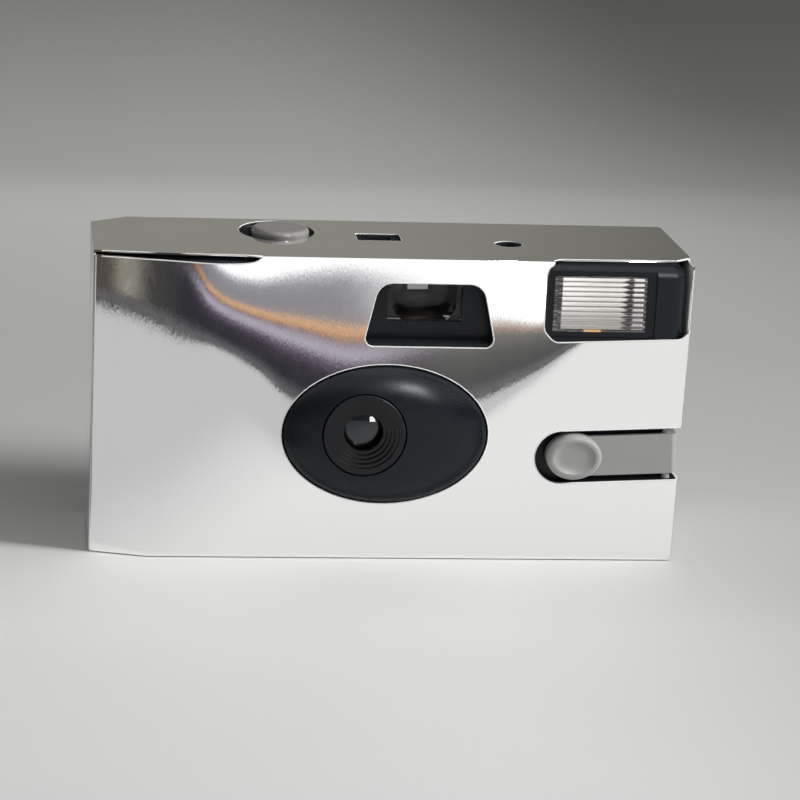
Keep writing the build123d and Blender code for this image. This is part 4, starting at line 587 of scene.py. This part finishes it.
# %% Hand the finishes out
FINISH_OF = {
    "foil_card": "card_sleeve",
    "front_plastic": "front_cover",
    "black_plastic": "rear_cover",
    "ring_plastic": "lens_ring",
    "frame_plastic": "chassis lens_board mechanism_cover finder_housing counter_disc",
    "white_plastic": "striker_lever metering_lever sprocket metering_cam thumbwheel"
                     " wheel_pawl supply_spool cartridge_spool",
    "grey_plastic": "shutter_button",
    "switch_plastic": "flash_switch",
    "clear_plastic": "finder_rear_lens counter_window light_pipe",
    "lens_plastic": "lens",
    "finder_plastic": "finder_front_lens",
    "flash_prism": "flash_window",
    "tube_glass": "xenon_tube",
    "lamp_lens": "charge_lamp",
    "blade_steel": "shutter_blade",
    "spring_steel": "shutter_spring striker_spring metering_spring button_spring",
    "reflector_foil": "flash_reflector",
    "film": "film_strip film_roll",
    "cartridge_metal": "cartridge_shell cartridge_cap_low cartridge_cap_high",
    "board_laminate": "circuit_board",
    "capacitor_wrap": "flash_capacitor",
    "battery_wrap": "battery",
    "coil_wrap": "transformer trigger_coil",
    "part_plastic": "transistor",
    "resistor_body": "resistor_low resistor_middle resistor_high",
    "contact_metal": "sync_contacts switch_contact battery_contact_minus battery_contact_plus",
}


def give(piece, finish):
    piece.data.materials.clear()
    piece.data.materials.append(finish)


dressed = set()
for slot, names in FINISH_OF.items():
    for name in names.split():
        give(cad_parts[name], FINISHES[slot])
        dressed.add(name)
print("dressed", len(dressed), "nodes; left over:", sorted(set(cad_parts) - dressed))

# %% [markdown]
# A die cuts the windows out of the printed card and leaves a thin white lip of torn fibres round
# each one. It follows the outline of the window, so Geometry Nodes sweep a small round bead along
# the outline. Later cells grow the counter's ticks and the button's coil in the same way.

# %% A sweep tree for the card's lips
def geometry_tree(name, **inputs):
    """A Geometry Nodes tree, with its named inputs and their kinds."""
    made = bpy.data.node_groups.new(name, "GeometryNodeTree")
    sockets = [(label, "INPUT", kind) for label, kind in {"Geometry": "Geometry", **inputs}.items()]
    for label, way, kind in sockets + [("Geometry", "OUTPUT", "Geometry")]:
        made.interface.new_socket(label, in_out=way, socket_type="NodeSocket" + kind)
    return made, made.nodes.new("NodeGroupInput").outputs


def wire_along(tree, line, radius, resolution):
    profile = node(tree, "GeometryNodeCurvePrimitiveCircle", {"Resolution": resolution,
                                                              "Radius": radius})
    return node(tree, "GeometryNodeCurveToMesh",
                {"Curve": line, "Profile Curve": profile.outputs[0], "Fill Caps": True}).outputs[0]


def end_tree(tree, shape, finish):
    solid = node(tree, "GeometryNodeRealizeInstances", {0: shape})
    painted = node(tree, "GeometryNodeSetMaterial", {"Geometry": solid.outputs[0],
                                                     "Material": finish})
    tree.links.new(painted.outputs[0], tree.nodes.new("NodeGroupOutput").inputs[0])


def placed(name, data):
    """A new object in the scene, at the origin."""
    made = bpy.data.objects.new(name, data)
    bpy.context.scene.collection.objects.link(made)
    return made


def plain_mesh(source):
    """The mesh that an object shows; the object itself is taken away."""
    source.update_tag()
    bpy.context.view_layer.update()
    shown = source.evaluated_get(bpy.context.evaluated_depsgraph_get())
    mesh = bpy.data.meshes.new_from_object(shown)
    bpy.data.objects.remove(source)
    return mesh


def grown(tree, start_mesh, name, values):
    """start_mesh through a Geometry Nodes tree, as a plain mesh object."""
    source = placed(name + "_source", start_mesh)
    step = source.modifiers.new("grow", "NODES")
    step.node_group = tree
    for item in tree.interface.items_tree:
        if item.in_out == "INPUT" and item.name in values:
            step[item.identifier] = values[item.name]
    return placed(name, plain_mesh(source))


SWEEP, given = geometry_tree("bead_along_edges", Radius="Float", Finish="Material")
line = node(SWEEP, "GeometryNodeMeshToCurve", {0: given["Geometry"]})
end_tree(SWEEP, wire_along(SWEEP, line.outputs[0], given["Radius"], 8), given["Finish"])
print("sweep inputs:", [item.name for item in SWEEP.interface.items_tree if item.in_out == "INPUT"])

# %% [markdown]
# The outlines follow what the CAD source cuts: an oval round the lens, a trapezium for the finder,
# the slot of the switch, three holes in the top and two in the back, all flat. The flash notch and
# the slit at the top left fold run round the folds, so they are paths in space along the card's
# edges. The hole of the button shows its lip only at the back, and its line is open.

# %% Outlines of the windows
LIP = 0.08
FRONT_Y, TOP_Z, BACK_Y = -17.0, 61.0, 17.0
SLOT_HALF, SLOT_LEFT, SLOT_RIGHT = 5.35 + LIP, -2.35, 20.6


def oval(cx, cy, rx, ry, count=96):
    turns = [2 * math.pi * i / count for i in range(count)]
    return [(cx + (rx + LIP) * math.cos(a), cy + (ry + LIP) * math.sin(a)) for a in turns]


def rounded(points, radii, steps=6):
    """A closed polygon with each corner turned into an arc of its own radius."""
    made = []
    for i, (corner, radius) in enumerate(zip(points, radii)):
        corner = Vector(corner)
        back = (Vector(points[i - 1]) - corner).normalized()
        ahead = (Vector(points[(i + 1) % len(points)]) - corner).normalized()
        half = back.angle(ahead) / 2
        middle = corner + (back + ahead).normalized() * radius / math.sin(half)
        start = corner + back * radius / math.tan(half) - middle
        end = corner + ahead * radius / math.tan(half) - middle
        spokes = [start] + [start.slerp(end, k / steps) for k in range(1, steps)] + [end]
        made += [tuple(middle + spoke.normalized() * radius) for spoke in spokes]
    return made


def window(left, low, right, high, radius):
    left, low, right, high = left - LIP, low - LIP, right + LIP, high + LIP
    return rounded([(left, low), (right, low), (right, high), (left, high)], [radius] * 4)


def on_switch(u, v):
    """A place on the front, from its place along and across the tilted switch."""
    cosine, sine = math.cos(PAD_TILT), math.sin(PAD_TILT)
    return tuple(Vector(PAD_MIDDLE) + Vector((cosine, sine)) * u + Vector((-sine, cosine)) * v)


def softened(points, cut, closed, steps=5):
    """A path in space with each corner turned into a short curve."""
    made = []
    for i, corner in enumerate(points):
        corner = Vector(corner)
        if not closed and i in (0, len(points) - 1):
            made.append(corner)
            continue
        back = Vector(points[i - 1]) - corner
        ahead = Vector(points[(i + 1) % len(points)]) - corner
        start = back * min(cut / back.length, 0.45)
        end = ahead * min(cut / ahead.length, 0.45)
        made += [corner + start * (1 - k / steps) ** 2 + end * (k / steps) ** 2
                 for k in range(steps + 1)]
    return made


slot_round = [on_switch(SLOT_LEFT + SLOT_HALF * math.cos(a), SLOT_HALF * math.sin(a))
              for a in [math.radians(degrees) for degrees in range(90, 271, 6)]]
FINDER_X, FINDER_LOW, FINDER_HIGH = 7.2, (13.1 + LIP, 43.4 - LIP), (10.2 + LIP, 56.1 + LIP)
trapezium = [(FINDER_X + side * half, z) for side, (half, z) in
             ((-1, FINDER_LOW), (1, FINDER_LOW), (1, FINDER_HIGH), (-1, FINDER_HIGH))]
FRONT_LINES = [
    (oval(*BOSS_MIDDLE, *BOSS_RADII, 128), True),
    (rounded(trapezium, [1.7, 1.7, 3.4, 3.4]), True),
    ([on_switch(SLOT_RIGHT, SLOT_HALF), *slot_round, on_switch(SLOT_RIGHT, -SLOT_HALF)], False),
]
TOP_LINES = [(oval(-21.6, 6.5, 7.6, 9.3)[:52], False), (window(-5.9, -0.95, 2.9, 5.45, 0.8), True),
             (oval(24.2, -1.8, 2.8, 2.8, 40), True)]
BACK_LINES = [(window(-52.75, 49.2, -28.25, 57.6, 1.0), True),
              (window(0.0, 47.1, 13.0, 57.1, 1.0), True)]

LIP_Y, LIP_Z = FRONT_Y + 0.06, TOP_Z - 0.12
NOTCH_LEFT, NOTCH_CUT, SLIT_CUT = 29.8 - LIP, 1.2, 2.0
NOTCH = [(32.0, LIP_Y, 44.7 - LIP), (57.3, LIP_Y, 45.7 - LIP), (58.8, -16.85, 47.0),
         (59.12, -16.1, 47.1), (59.12, -15.36, 47.2), (59.29, -15.36, 59.96),
         (59.15, -11.4, 59.96), (58.75, -11.48, LIP_Z), (55.9, -13.84, LIP_Z),
         (32.8, -14.44, LIP_Z), (31.2, -15.5, LIP_Z), (31.2, LIP_Y, 60.7), (30.9, LIP_Y, 60.2),
         (NOTCH_LEFT + 0.5, LIP_Y, 59.7), (NOTCH_LEFT, LIP_Y, 58.4), (NOTCH_LEFT, LIP_Y, 47.0)]
SLIT_TIP = (-26.0, LIP_Y, 60.75)
SLIT_LOW = [SLIT_TIP, (-27.3, LIP_Y, 59.75), (-30.0, LIP_Y, 59.35), (-35.0, LIP_Y + 0.04, 59.25),
            (-44.5, LIP_Y + 0.79, 59.65), (-57.0, LIP_Y + 1.78, 60.05)]
SLIT_HIGH = [SLIT_TIP, (-29.5, -15.66, LIP_Z), (-39.3, -15.36, LIP_Z), (-50.2, -14.56, LIP_Z),
             (-57.0, -13.9, LIP_Z)]
LOOSE_LINES = [(softened(NOTCH, NOTCH_CUT, True), True),
               (softened(SLIT_LOW, SLIT_CUT, False), False),
               (softened(SLIT_HIGH, SLIT_CUT, False), False)]
print("window outlines:", len(FRONT_LINES), "front,", len(TOP_LINES), "top,", len(BACK_LINES),
      "back,", len(LOOSE_LINES), "round the folds")

# %% [markdown]
# Each outline becomes a line of edges at the card's surface, sunk by a little less than the
# bead's radius, so that the bead stands a little proud of the foil. One mesh holds all of them,
# because they all ride on the sleeve's body.

# %% Sweep the white lips
BEAD, PROUD, TOP_PROUD = 0.13, 0.07, 0.01
corners, edges = [], []


def add_line(points, closed):
    first = len(corners)
    corners.extend(Vector(p) * MM for p in points)
    edges.extend((first + i, first + i + 1) for i in range(len(points) - 1))
    if closed:
        edges.append((first + len(points) - 1, first))


for points, closed in FRONT_LINES:
    add_line([(x, FRONT_Y + BEAD - PROUD, z) for x, z in points], closed)
for points, closed in TOP_LINES:
    add_line([(x, y, TOP_Z - BEAD + TOP_PROUD) for x, y in points], closed)
for points, closed in LOOSE_LINES:
    add_line(points, closed)
for points, closed in BACK_LINES:
    add_line([(x, BACK_Y - BEAD + PROUD, z) for x, z in points], closed)

tree, shader, place = new_finish("card_lip", Roughness=0.8)
fluff = effect(tree, GRAIN, place, Size_mm=0.2)
shade = effect(tree, DRIFT, place, Colour=tone(238, 238, 235), Size_mm=1.5, Change=0.35)
feed(shader, Base_Color=shade["Colour"])
bumped(tree, shader, fluff["Height"], 0.02)
outline = bpy.data.meshes.new("window_outlines")
outline.from_pydata(corners, edges, [])
card_lips = grown(SWEEP, outline, "card_lips",
                  {"Radius": BEAD * MM, "Finish": FINISHES["card_lip"]})
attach(card_lips, "camera")
print("card lips:", len(card_lips.data.polygons), "faces along", len(edges), "edges")

# %% [markdown]
# The exposure counter is a black disc under the small window in the top. Its numbers are printed,
# with a tick for each exposure. The ticks repeat round a circle, so Geometry Nodes place one bar on
# each point of a circle and turn it outwards. The numbers are text turned into a mesh.

# %% Ticks and numbers of the counter
DISC_MIDDLE = Vector((-7.0, -0.05, 58.5)) * MM
PRINT = 0.03 * MM
EXPOSURES, NUMBERS, NUMBER_RADIUS, NUMBER_SIZE = 36, 12, 6.5, 1.7
tree, shader, place = new_finish("counter_ink", Roughness=0.5)
shade = effect(tree, DRIFT, place, Colour=tone(170, 170, 166), Size_mm=0.6, Change=0.3)
feed(shader, Base_Color=shade["Colour"])

TICKS, given = geometry_tree("ticks_round_a_dial", Count="Int", Radius="Float", Length="Float",
                             Width="Float", Finish="Material")
ring = node(TICKS, "GeometryNodeCurvePrimitiveCircle", {"Resolution": given["Count"],
                                                        "Radius": given["Radius"]})
spots = node(TICKS, "GeometryNodeCurveToPoints", {"Curve": ring.outputs[0],
                                                  "Count": given["Count"]}, mode="COUNT").outputs
size = node(TICKS, "ShaderNodeCombineXYZ", {0: given["Length"], 1: given["Width"], 2: PRINT})
bar = node(TICKS, "GeometryNodeMeshCube", {"Size": size.outputs[0]})
spin = node(TICKS, "FunctionNodeAlignRotationToVector", {"Vector": spots["Normal"]}, axis="X")
bars = node(TICKS, "GeometryNodeInstanceOnPoints", {
    "Points": spots["Points"], "Instance": bar.outputs["Mesh"], "Rotation": spin.outputs[0]})
moved = node(TICKS, "GeometryNodeTransform", {0: bars.outputs[0], "Translation": DISC_MIDDLE})
end_tree(TICKS, moved.outputs[0], given["Finish"])
counter_ticks = grown(TICKS, bpy.data.meshes.new("empty"), "counter_ticks",
                      {"Count": EXPOSURES, "Radius": 8.0 * MM, "Length": 0.8 * MM,
                       "Width": 0.14 * MM, "Finish": FINISHES["counter_ink"]})
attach(counter_ticks, "counter")
print("counter ticks:", len(counter_ticks.data.polygons), "faces")


def printed(text, spot, turn):
    """Text as flat ink on the disc: a list of points and faces."""
    words = bpy.data.curves.new("figure", "FONT")
    words.body, words.size = text, NUMBER_SIZE * MM
    words.align_x = words.align_y = "CENTER"
    words.extrude = PRINT / 2
    words.resolution_u = 3
    mesh = plain_mesh(placed("figure", words))
    mesh.transform(Matrix.Translation(spot) @ Matrix.Rotation(turn, 4, "Z"))
    return [tuple(v.co) for v in mesh.vertices], [tuple(p.vertices) for p in mesh.polygons]


points, faces = [], []
for i in range(NUMBERS):
    angle = 2 * math.pi * i / NUMBERS
    way_out = Vector((math.cos(angle), math.sin(angle), 0.0)) * NUMBER_RADIUS * MM
    figure, parts = printed(str(i * EXPOSURES // NUMBERS), DISC_MIDDLE + way_out,
                            angle - math.pi / 2)
    faces += [tuple(v + len(points) for v in f) for f in parts]
    points += figure
numbers = bpy.data.meshes.new("counter_numbers")
numbers.from_pydata(points, [], faces)
numbers.materials.append(FINISHES["counter_ink"])
counter_numbers = placed("counter_numbers", numbers)
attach(counter_numbers, "counter")
print("counter numbers:", len(faces), "faces")

# %% [markdown]
# The spring under the shutter button is a coil of steel wire. It stands on the cover and carries
# the button, so it has to shorten when the button goes down. The CAD coil is one stiff piece, and
# a coil of the same size stands in for it here.

# %% The coil under the button
COILS, given = geometry_tree("coil_of_wire", Turns="Float", Radius="Float", Height="Float",
                             Wire="Float", Foot="Vector", Finish="Material")
helix = node(COILS, "GeometryNodeCurveSpiral", {
    "Resolution": 32, "Rotations": given["Turns"], "Start Radius": given["Radius"],
    "End Radius": given["Radius"], "Height": given["Height"]})
turned = wire_along(COILS, helix.outputs[0], given["Wire"], 10)
moved = node(COILS, "GeometryNodeTransform", {0: turned, "Translation": given["Foot"]})
end_tree(COILS, moved.outputs[0], given["Finish"])

WIRE_RADIUS, COIL_TURNS = 0.15 * MM, 4.0
low, high = [Vector(corner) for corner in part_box("button_spring")]
foot = Vector(((low.x + high.x) / 2, (low.y + high.y) / 2, low.z + WIRE_RADIUS))
coil_height = high.z - low.z - 2 * WIRE_RADIUS
button_coil = grown(COILS, bpy.data.meshes.new("no_wire"), "button_coil",
                    {"Turns": COIL_TURNS, "Radius": (high.x - low.x) / 2 - WIRE_RADIUS,
                     "Height": coil_height, "Wire": WIRE_RADIUS, "Foot": foot,
                     "Finish": FINISHES["spring_steel"]})
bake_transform(button_coil)
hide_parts("button_spring")
print("button coil:", len(button_coil.data.polygons), "faces,", round(coil_height / MM, 2),
      "mm high")

# %% [markdown]
# The camera stands on a pale table that runs back into a grey backdrop. One big plane gives both:
# its colour fades from pale in front to grey far behind, with a soft step where the backdrop
# starts. Painted shade darkens it just behind the camera and towards the right, the left and the
# near edge. What mirrors and lenses see of the floor, in front of the sleeve and far away, is a
# glow of a colour of its own, with painted shade on its left side and a painted shadow beside the
# camera. So the foil shows the table up to its far edge, and the floor that the view sees keeps
# its shadow.

# %% Floor and backdrop
def mirror_rays(tree):
    """1 for rays that come from a mirror or through a lens, 0 for all others."""
    path = node(tree, "ShaderNodeLightPath").outputs
    return maths(tree, "MAXIMUM", path["Is Glossy Ray"], path["Is Transmission Ray"])


FLOOR_HALF, FLOOR_Z = 6.0, -0.0002
# Depths and grey levels of the paper; the dip just behind the camera is painted shade.
DEPTHS = [(-0.4, 228, 228, 227), (-0.06, 230, 230, 229), (0.03, 199, 199, 197),
          (0.16, 196, 196, 193), (0.30, 213, 213, 210), (0.335, 210, 210, 207),
          (0.365, 195, 195, 191), (0.50, 187, 187, 183), (0.74, 172, 172, 168),
          (1.6, 155, 155, 151)]
SHADE = tone(84, 83, 80)
sheet = bpy.data.meshes.new("floor")
sheet.from_pydata([(x * FLOOR_HALF, y * FLOOR_HALF, 0) for x, y in
                   ((-1, -1), (1, -1), (1, 1), (-1, 1))], [], [(0, 1, 2, 3)])
floor = placed("floor", sheet)
floor.location = (0, 0, FLOOR_Z)

tree, shader, place = new_finish("floor_paper", Roughness=0.7, Specular_IOR_Level=0.2)
x, y, _ = axes(tree, place)
away = vectors(tree, "LENGTH", place, output=1)
# Painted shade towards the right, the left and the near edge.
right_share = maths(tree, "MULTIPLY_ADD", fade(tree, y, 0.1, 0.55), 0.47,
                    maths(tree, "MULTIPLY_ADD", fade(tree, y, 0.03, -0.05), 0.45, 0.35))
paper = layered(
    tree, ramp(tree, y, DEPTHS[0][0], DEPTHS[-1][0], DEPTHS),
    (times(tree, fade(tree, x, -0.01, 0.20), right_share), SHADE),
    (times(tree, fade(tree, x, -0.02, -0.10), fade(tree, y, -0.12, -0.24, 0.0, 0.22)), SHADE),
    (times(tree, fade(tree, y, -0.13, -0.26), 0.28), SHADE))
mottle = effect(tree, DRIFT, place, Colour=paper, Size_mm=60.0, Change=0.03)
feed(shader, Base_Color=mottle["Colour"])

# What mirrors see has painted shade on the left side of the table and a painted shadow beside the
# camera.
slanted = maths(tree, "MULTIPLY_ADD", y, 0.45, x)
painted_shadow_beside = times(tree, fade(tree, x, -0.062, -0.072), fade(tree, y, -0.10, -0.05))
table = mixed(tree, fade(tree, slanted, -0.088, -0.038), tone(198), tone(236, 236, 235))
far_edge = mixed(tree, fade(tree, y, -0.3, 0.3), tone(70, 68, 70), tone(140, 139, 135))
table = layered(tree, table, (fade(tree, y, -0.1, 0.3), tone(150, 149, 145)),
                (painted_shadow_beside, tone(112, 112, 110)), (fade(tree, away, 0.8, 3.0), far_edge))
seen = node(tree, "ShaderNodeEmission", {0: table})
clean = largest(tree, fade(tree, y, -0.0175, -0.021), fade(tree, away, 0.16, 0.30))
surface(tree, times(tree, mirror_rays(tree), clean), shader, seen)
give(floor, FINISHES["floor_paper"])
print("floor fades over", len(DEPTHS), "depths")

# %% [markdown]
# A mirror shows its surroundings, so the room is part of the foil's look. The world gives plain
# soft light to everything, most of it from low in front. For mirror rays it is a simple studio: a
# dark room above the table's far edge, with a few quiet streaks, then a big white soft box, and
# grey paper behind. To the left of the middle it has upright bands of its own low down. It reads
# only the direction, so it stands still when the view moves.

# %% The room that the foil mirrors
AMBIENT, FRONT_LIGHT = 0.10, 0.50
LOWEST, HIGHEST = -10.0, 90.0
WHITE_BOX = (1.15, 1.15, 1.15, 1.0)
world = bpy.data.worlds.new("studio")
bpy.context.scene.world = world
world.use_nodes = True
tree = world.node_tree
dx, dy, dz = axes(tree, node(tree, "ShaderNodeTexCoord").outputs["Generated"])
up = maths(tree, "DEGREES", maths(tree, "ARCSINE", dz))
across = maths(tree, "DEGREES", maths(tree, "ARCTAN2", dx, times(tree, dy, -1.0)))
streaky, plain, rear = [ramp(tree, up, LOWEST, HIGHEST, steps) for steps in (
    [(-3, 150), (0.5, 90, 88, 90), (2.6, 48, 48, 54), (6.5, 60, 56, 66), (8.4, 104, 92, 108),
     (10.0, 186, 180, 194), (11.6, 160, 152, 166), (12.3, 126, 104, 98), (12.9, 214, 164, 120),
     (14.0, 222, 180, 142), (14.7, 150, 142, 144), (17.0, 140, 140, 145), (20.0, 150, 150, 155),
     (21.5, 196, 196, 200), (23.0, *WHITE_BOX), (31, *WHITE_BOX), (90, 235)],
    [(-3, 150), (0.5, 104), (3, 84), (8, 96, 96, 94), (12.0, 120, 118, 114),
     (13.7, 176, 150, 132), (15, 214, 206, 200), (16.5, *WHITE_BOX), (31, *WHITE_BOX), (90, 235)],
    [(-3, 140, 140, 137), (5, 140, 139, 132), (22, 131, 130, 122), (45, 150, 150, 146),
     (90, 225, 225, 222)])]
bands = ramp(tree, across, -20.0, 0.0, [
    (-20.0, 96, 92, 84), (-14.4, 80, 72, 62), (-13.1, 78, 72, 64), (-12.4, 160, 156, 144),
    (-11.6, 150, 146, 134), (-10.8, 60, 60, 57), (-9.2, 62), (-8.4, 46, 45, 52), (-4.0, 48, 46, 54)])
low_down = times(tree, fade(tree, up, 0.5, 2.0), fade(tree, up, 40.0, 20.0))
rear = mixed(tree, fade(tree, dx, 0.10, 0.27), rear, tone(90, 89, 84))
sky = layered(tree, streaky, (fade(tree, across, 3.0, 12.0), plain),
              (times(tree, fade(tree, across, -6.6, -8.2), low_down), bands),
              (fade(tree, dy, -0.15, 0.2), rear))
low_front = times(tree, fade(tree, dy, 0.1, -0.35), fade(tree, up, 42.0, 26.0))
glow = maths(tree, "MULTIPLY_ADD", low_front, FRONT_LIGHT - AMBIENT, AMBIENT)
glow = node(tree, "ShaderNodeCombineColor", {0: glow, 1: glow, 2: glow}).outputs[0]
seen = node(tree, "ShaderNodeLightPath").outputs["Is Camera Ray"]
feed(tree.nodes["Background"],
     Color=layered(tree, glow, (seen, tone(128, 127, 122)), (mirror_rays(tree), sky)))
print("the room has", len(tree.nodes), "nodes; even light", AMBIENT)

# %% [markdown]
# A key lamp stands to the right and a little in front, and throws the soft shadow to the left. No
# mirror shows it. A large lamp overhead adds a little. The window lamp in front lights no surface
# and only gleams in the shiny ones. The last lamp stands for a window too, and is linked to the
# lens and its ring only. Their power is set so that a pale colour looks as written.

# %% Lamps
def soft_lamp(name, place, aim, size, power, mirrored=True, lights=True):
    data = bpy.data.lights.new(name, "AREA")
    data.size, data.energy = size, power
    made = placed(name, data)
    made.location = place
    made.rotation_euler = (Vector(aim) - Vector(place)).to_track_quat("-Z", "Y").to_euler()
    made.visible_camera = False
    made.visible_glossy = mirrored
    made.visible_diffuse = lights
    return made


BODY_MIDDLE, LENS_FRONT = (0, 0, 0.03), (-0.005, -0.019, 0.0255)
soft_lamp("key_lamp", (1.05, -0.32, 0.56), BODY_MIDDLE, 0.30, 19.0, mirrored=False)
soft_lamp("overhead_lamp", (0.10, -0.25, 1.15), (0, -0.05, 0), 0.7, 1.6)
soft_lamp("window_lamp", (0.37, -0.82, 0.47), BODY_MIDDLE, 0.20, 5.0, lights=False)
gleam = soft_lamp("lens_gleam", (0.275, -0.765, 0.050), LENS_FRONT, 0.12, 0.9, lights=False)
gleam.light_linking.receiver_collection = bpy.data.collections.new("lens_and_ring")
for name in ("lens", "lens_ring"):
    gleam.light_linking.receiver_collection.objects.link(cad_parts[name])

# %% [markdown]
# The view is that of a long lens, held a little to the left and above, and turned slightly. The
# three turns were found by matching the corners of the sleeve, and the camera's axes are built
# from them one after the other.

# %% The view
PITCH, YAW, ROLL = 0.265281, -0.125732, 0.046492
ahead = Matrix.Rotation(YAW, 3, "Z") @ Vector((0, math.cos(PITCH), -math.sin(PITCH)))
level_right = Matrix.Rotation(YAW, 3, "Z") @ Vector((1, 0, 0))
level_up = level_right.cross(ahead)
right = math.cos(ROLL) * level_right + math.sin(ROLL) * level_up
upright = math.cos(ROLL) * level_up - math.sin(ROLL) * level_right
lens_data = bpy.data.cameras.new("view")
lens_data.lens, lens_data.sensor_width = 148.91, 36.0
lens_data.clip_start, lens_data.clip_end = 0.01, 20.0
view = placed("view", lens_data)
turned = Matrix((right, upright, -ahead)).transposed().to_4x4()
view.matrix_world = Matrix.Translation(Vector((-76.77, -639.70, 203.12)) * MM) @ turned
bpy.context.scene.camera = view
bpy.context.scene.view_settings.view_transform = "Standard"
print("view at", [round(v, 3) for v in view.location], "with a", lens_data.lens, "mm lens")
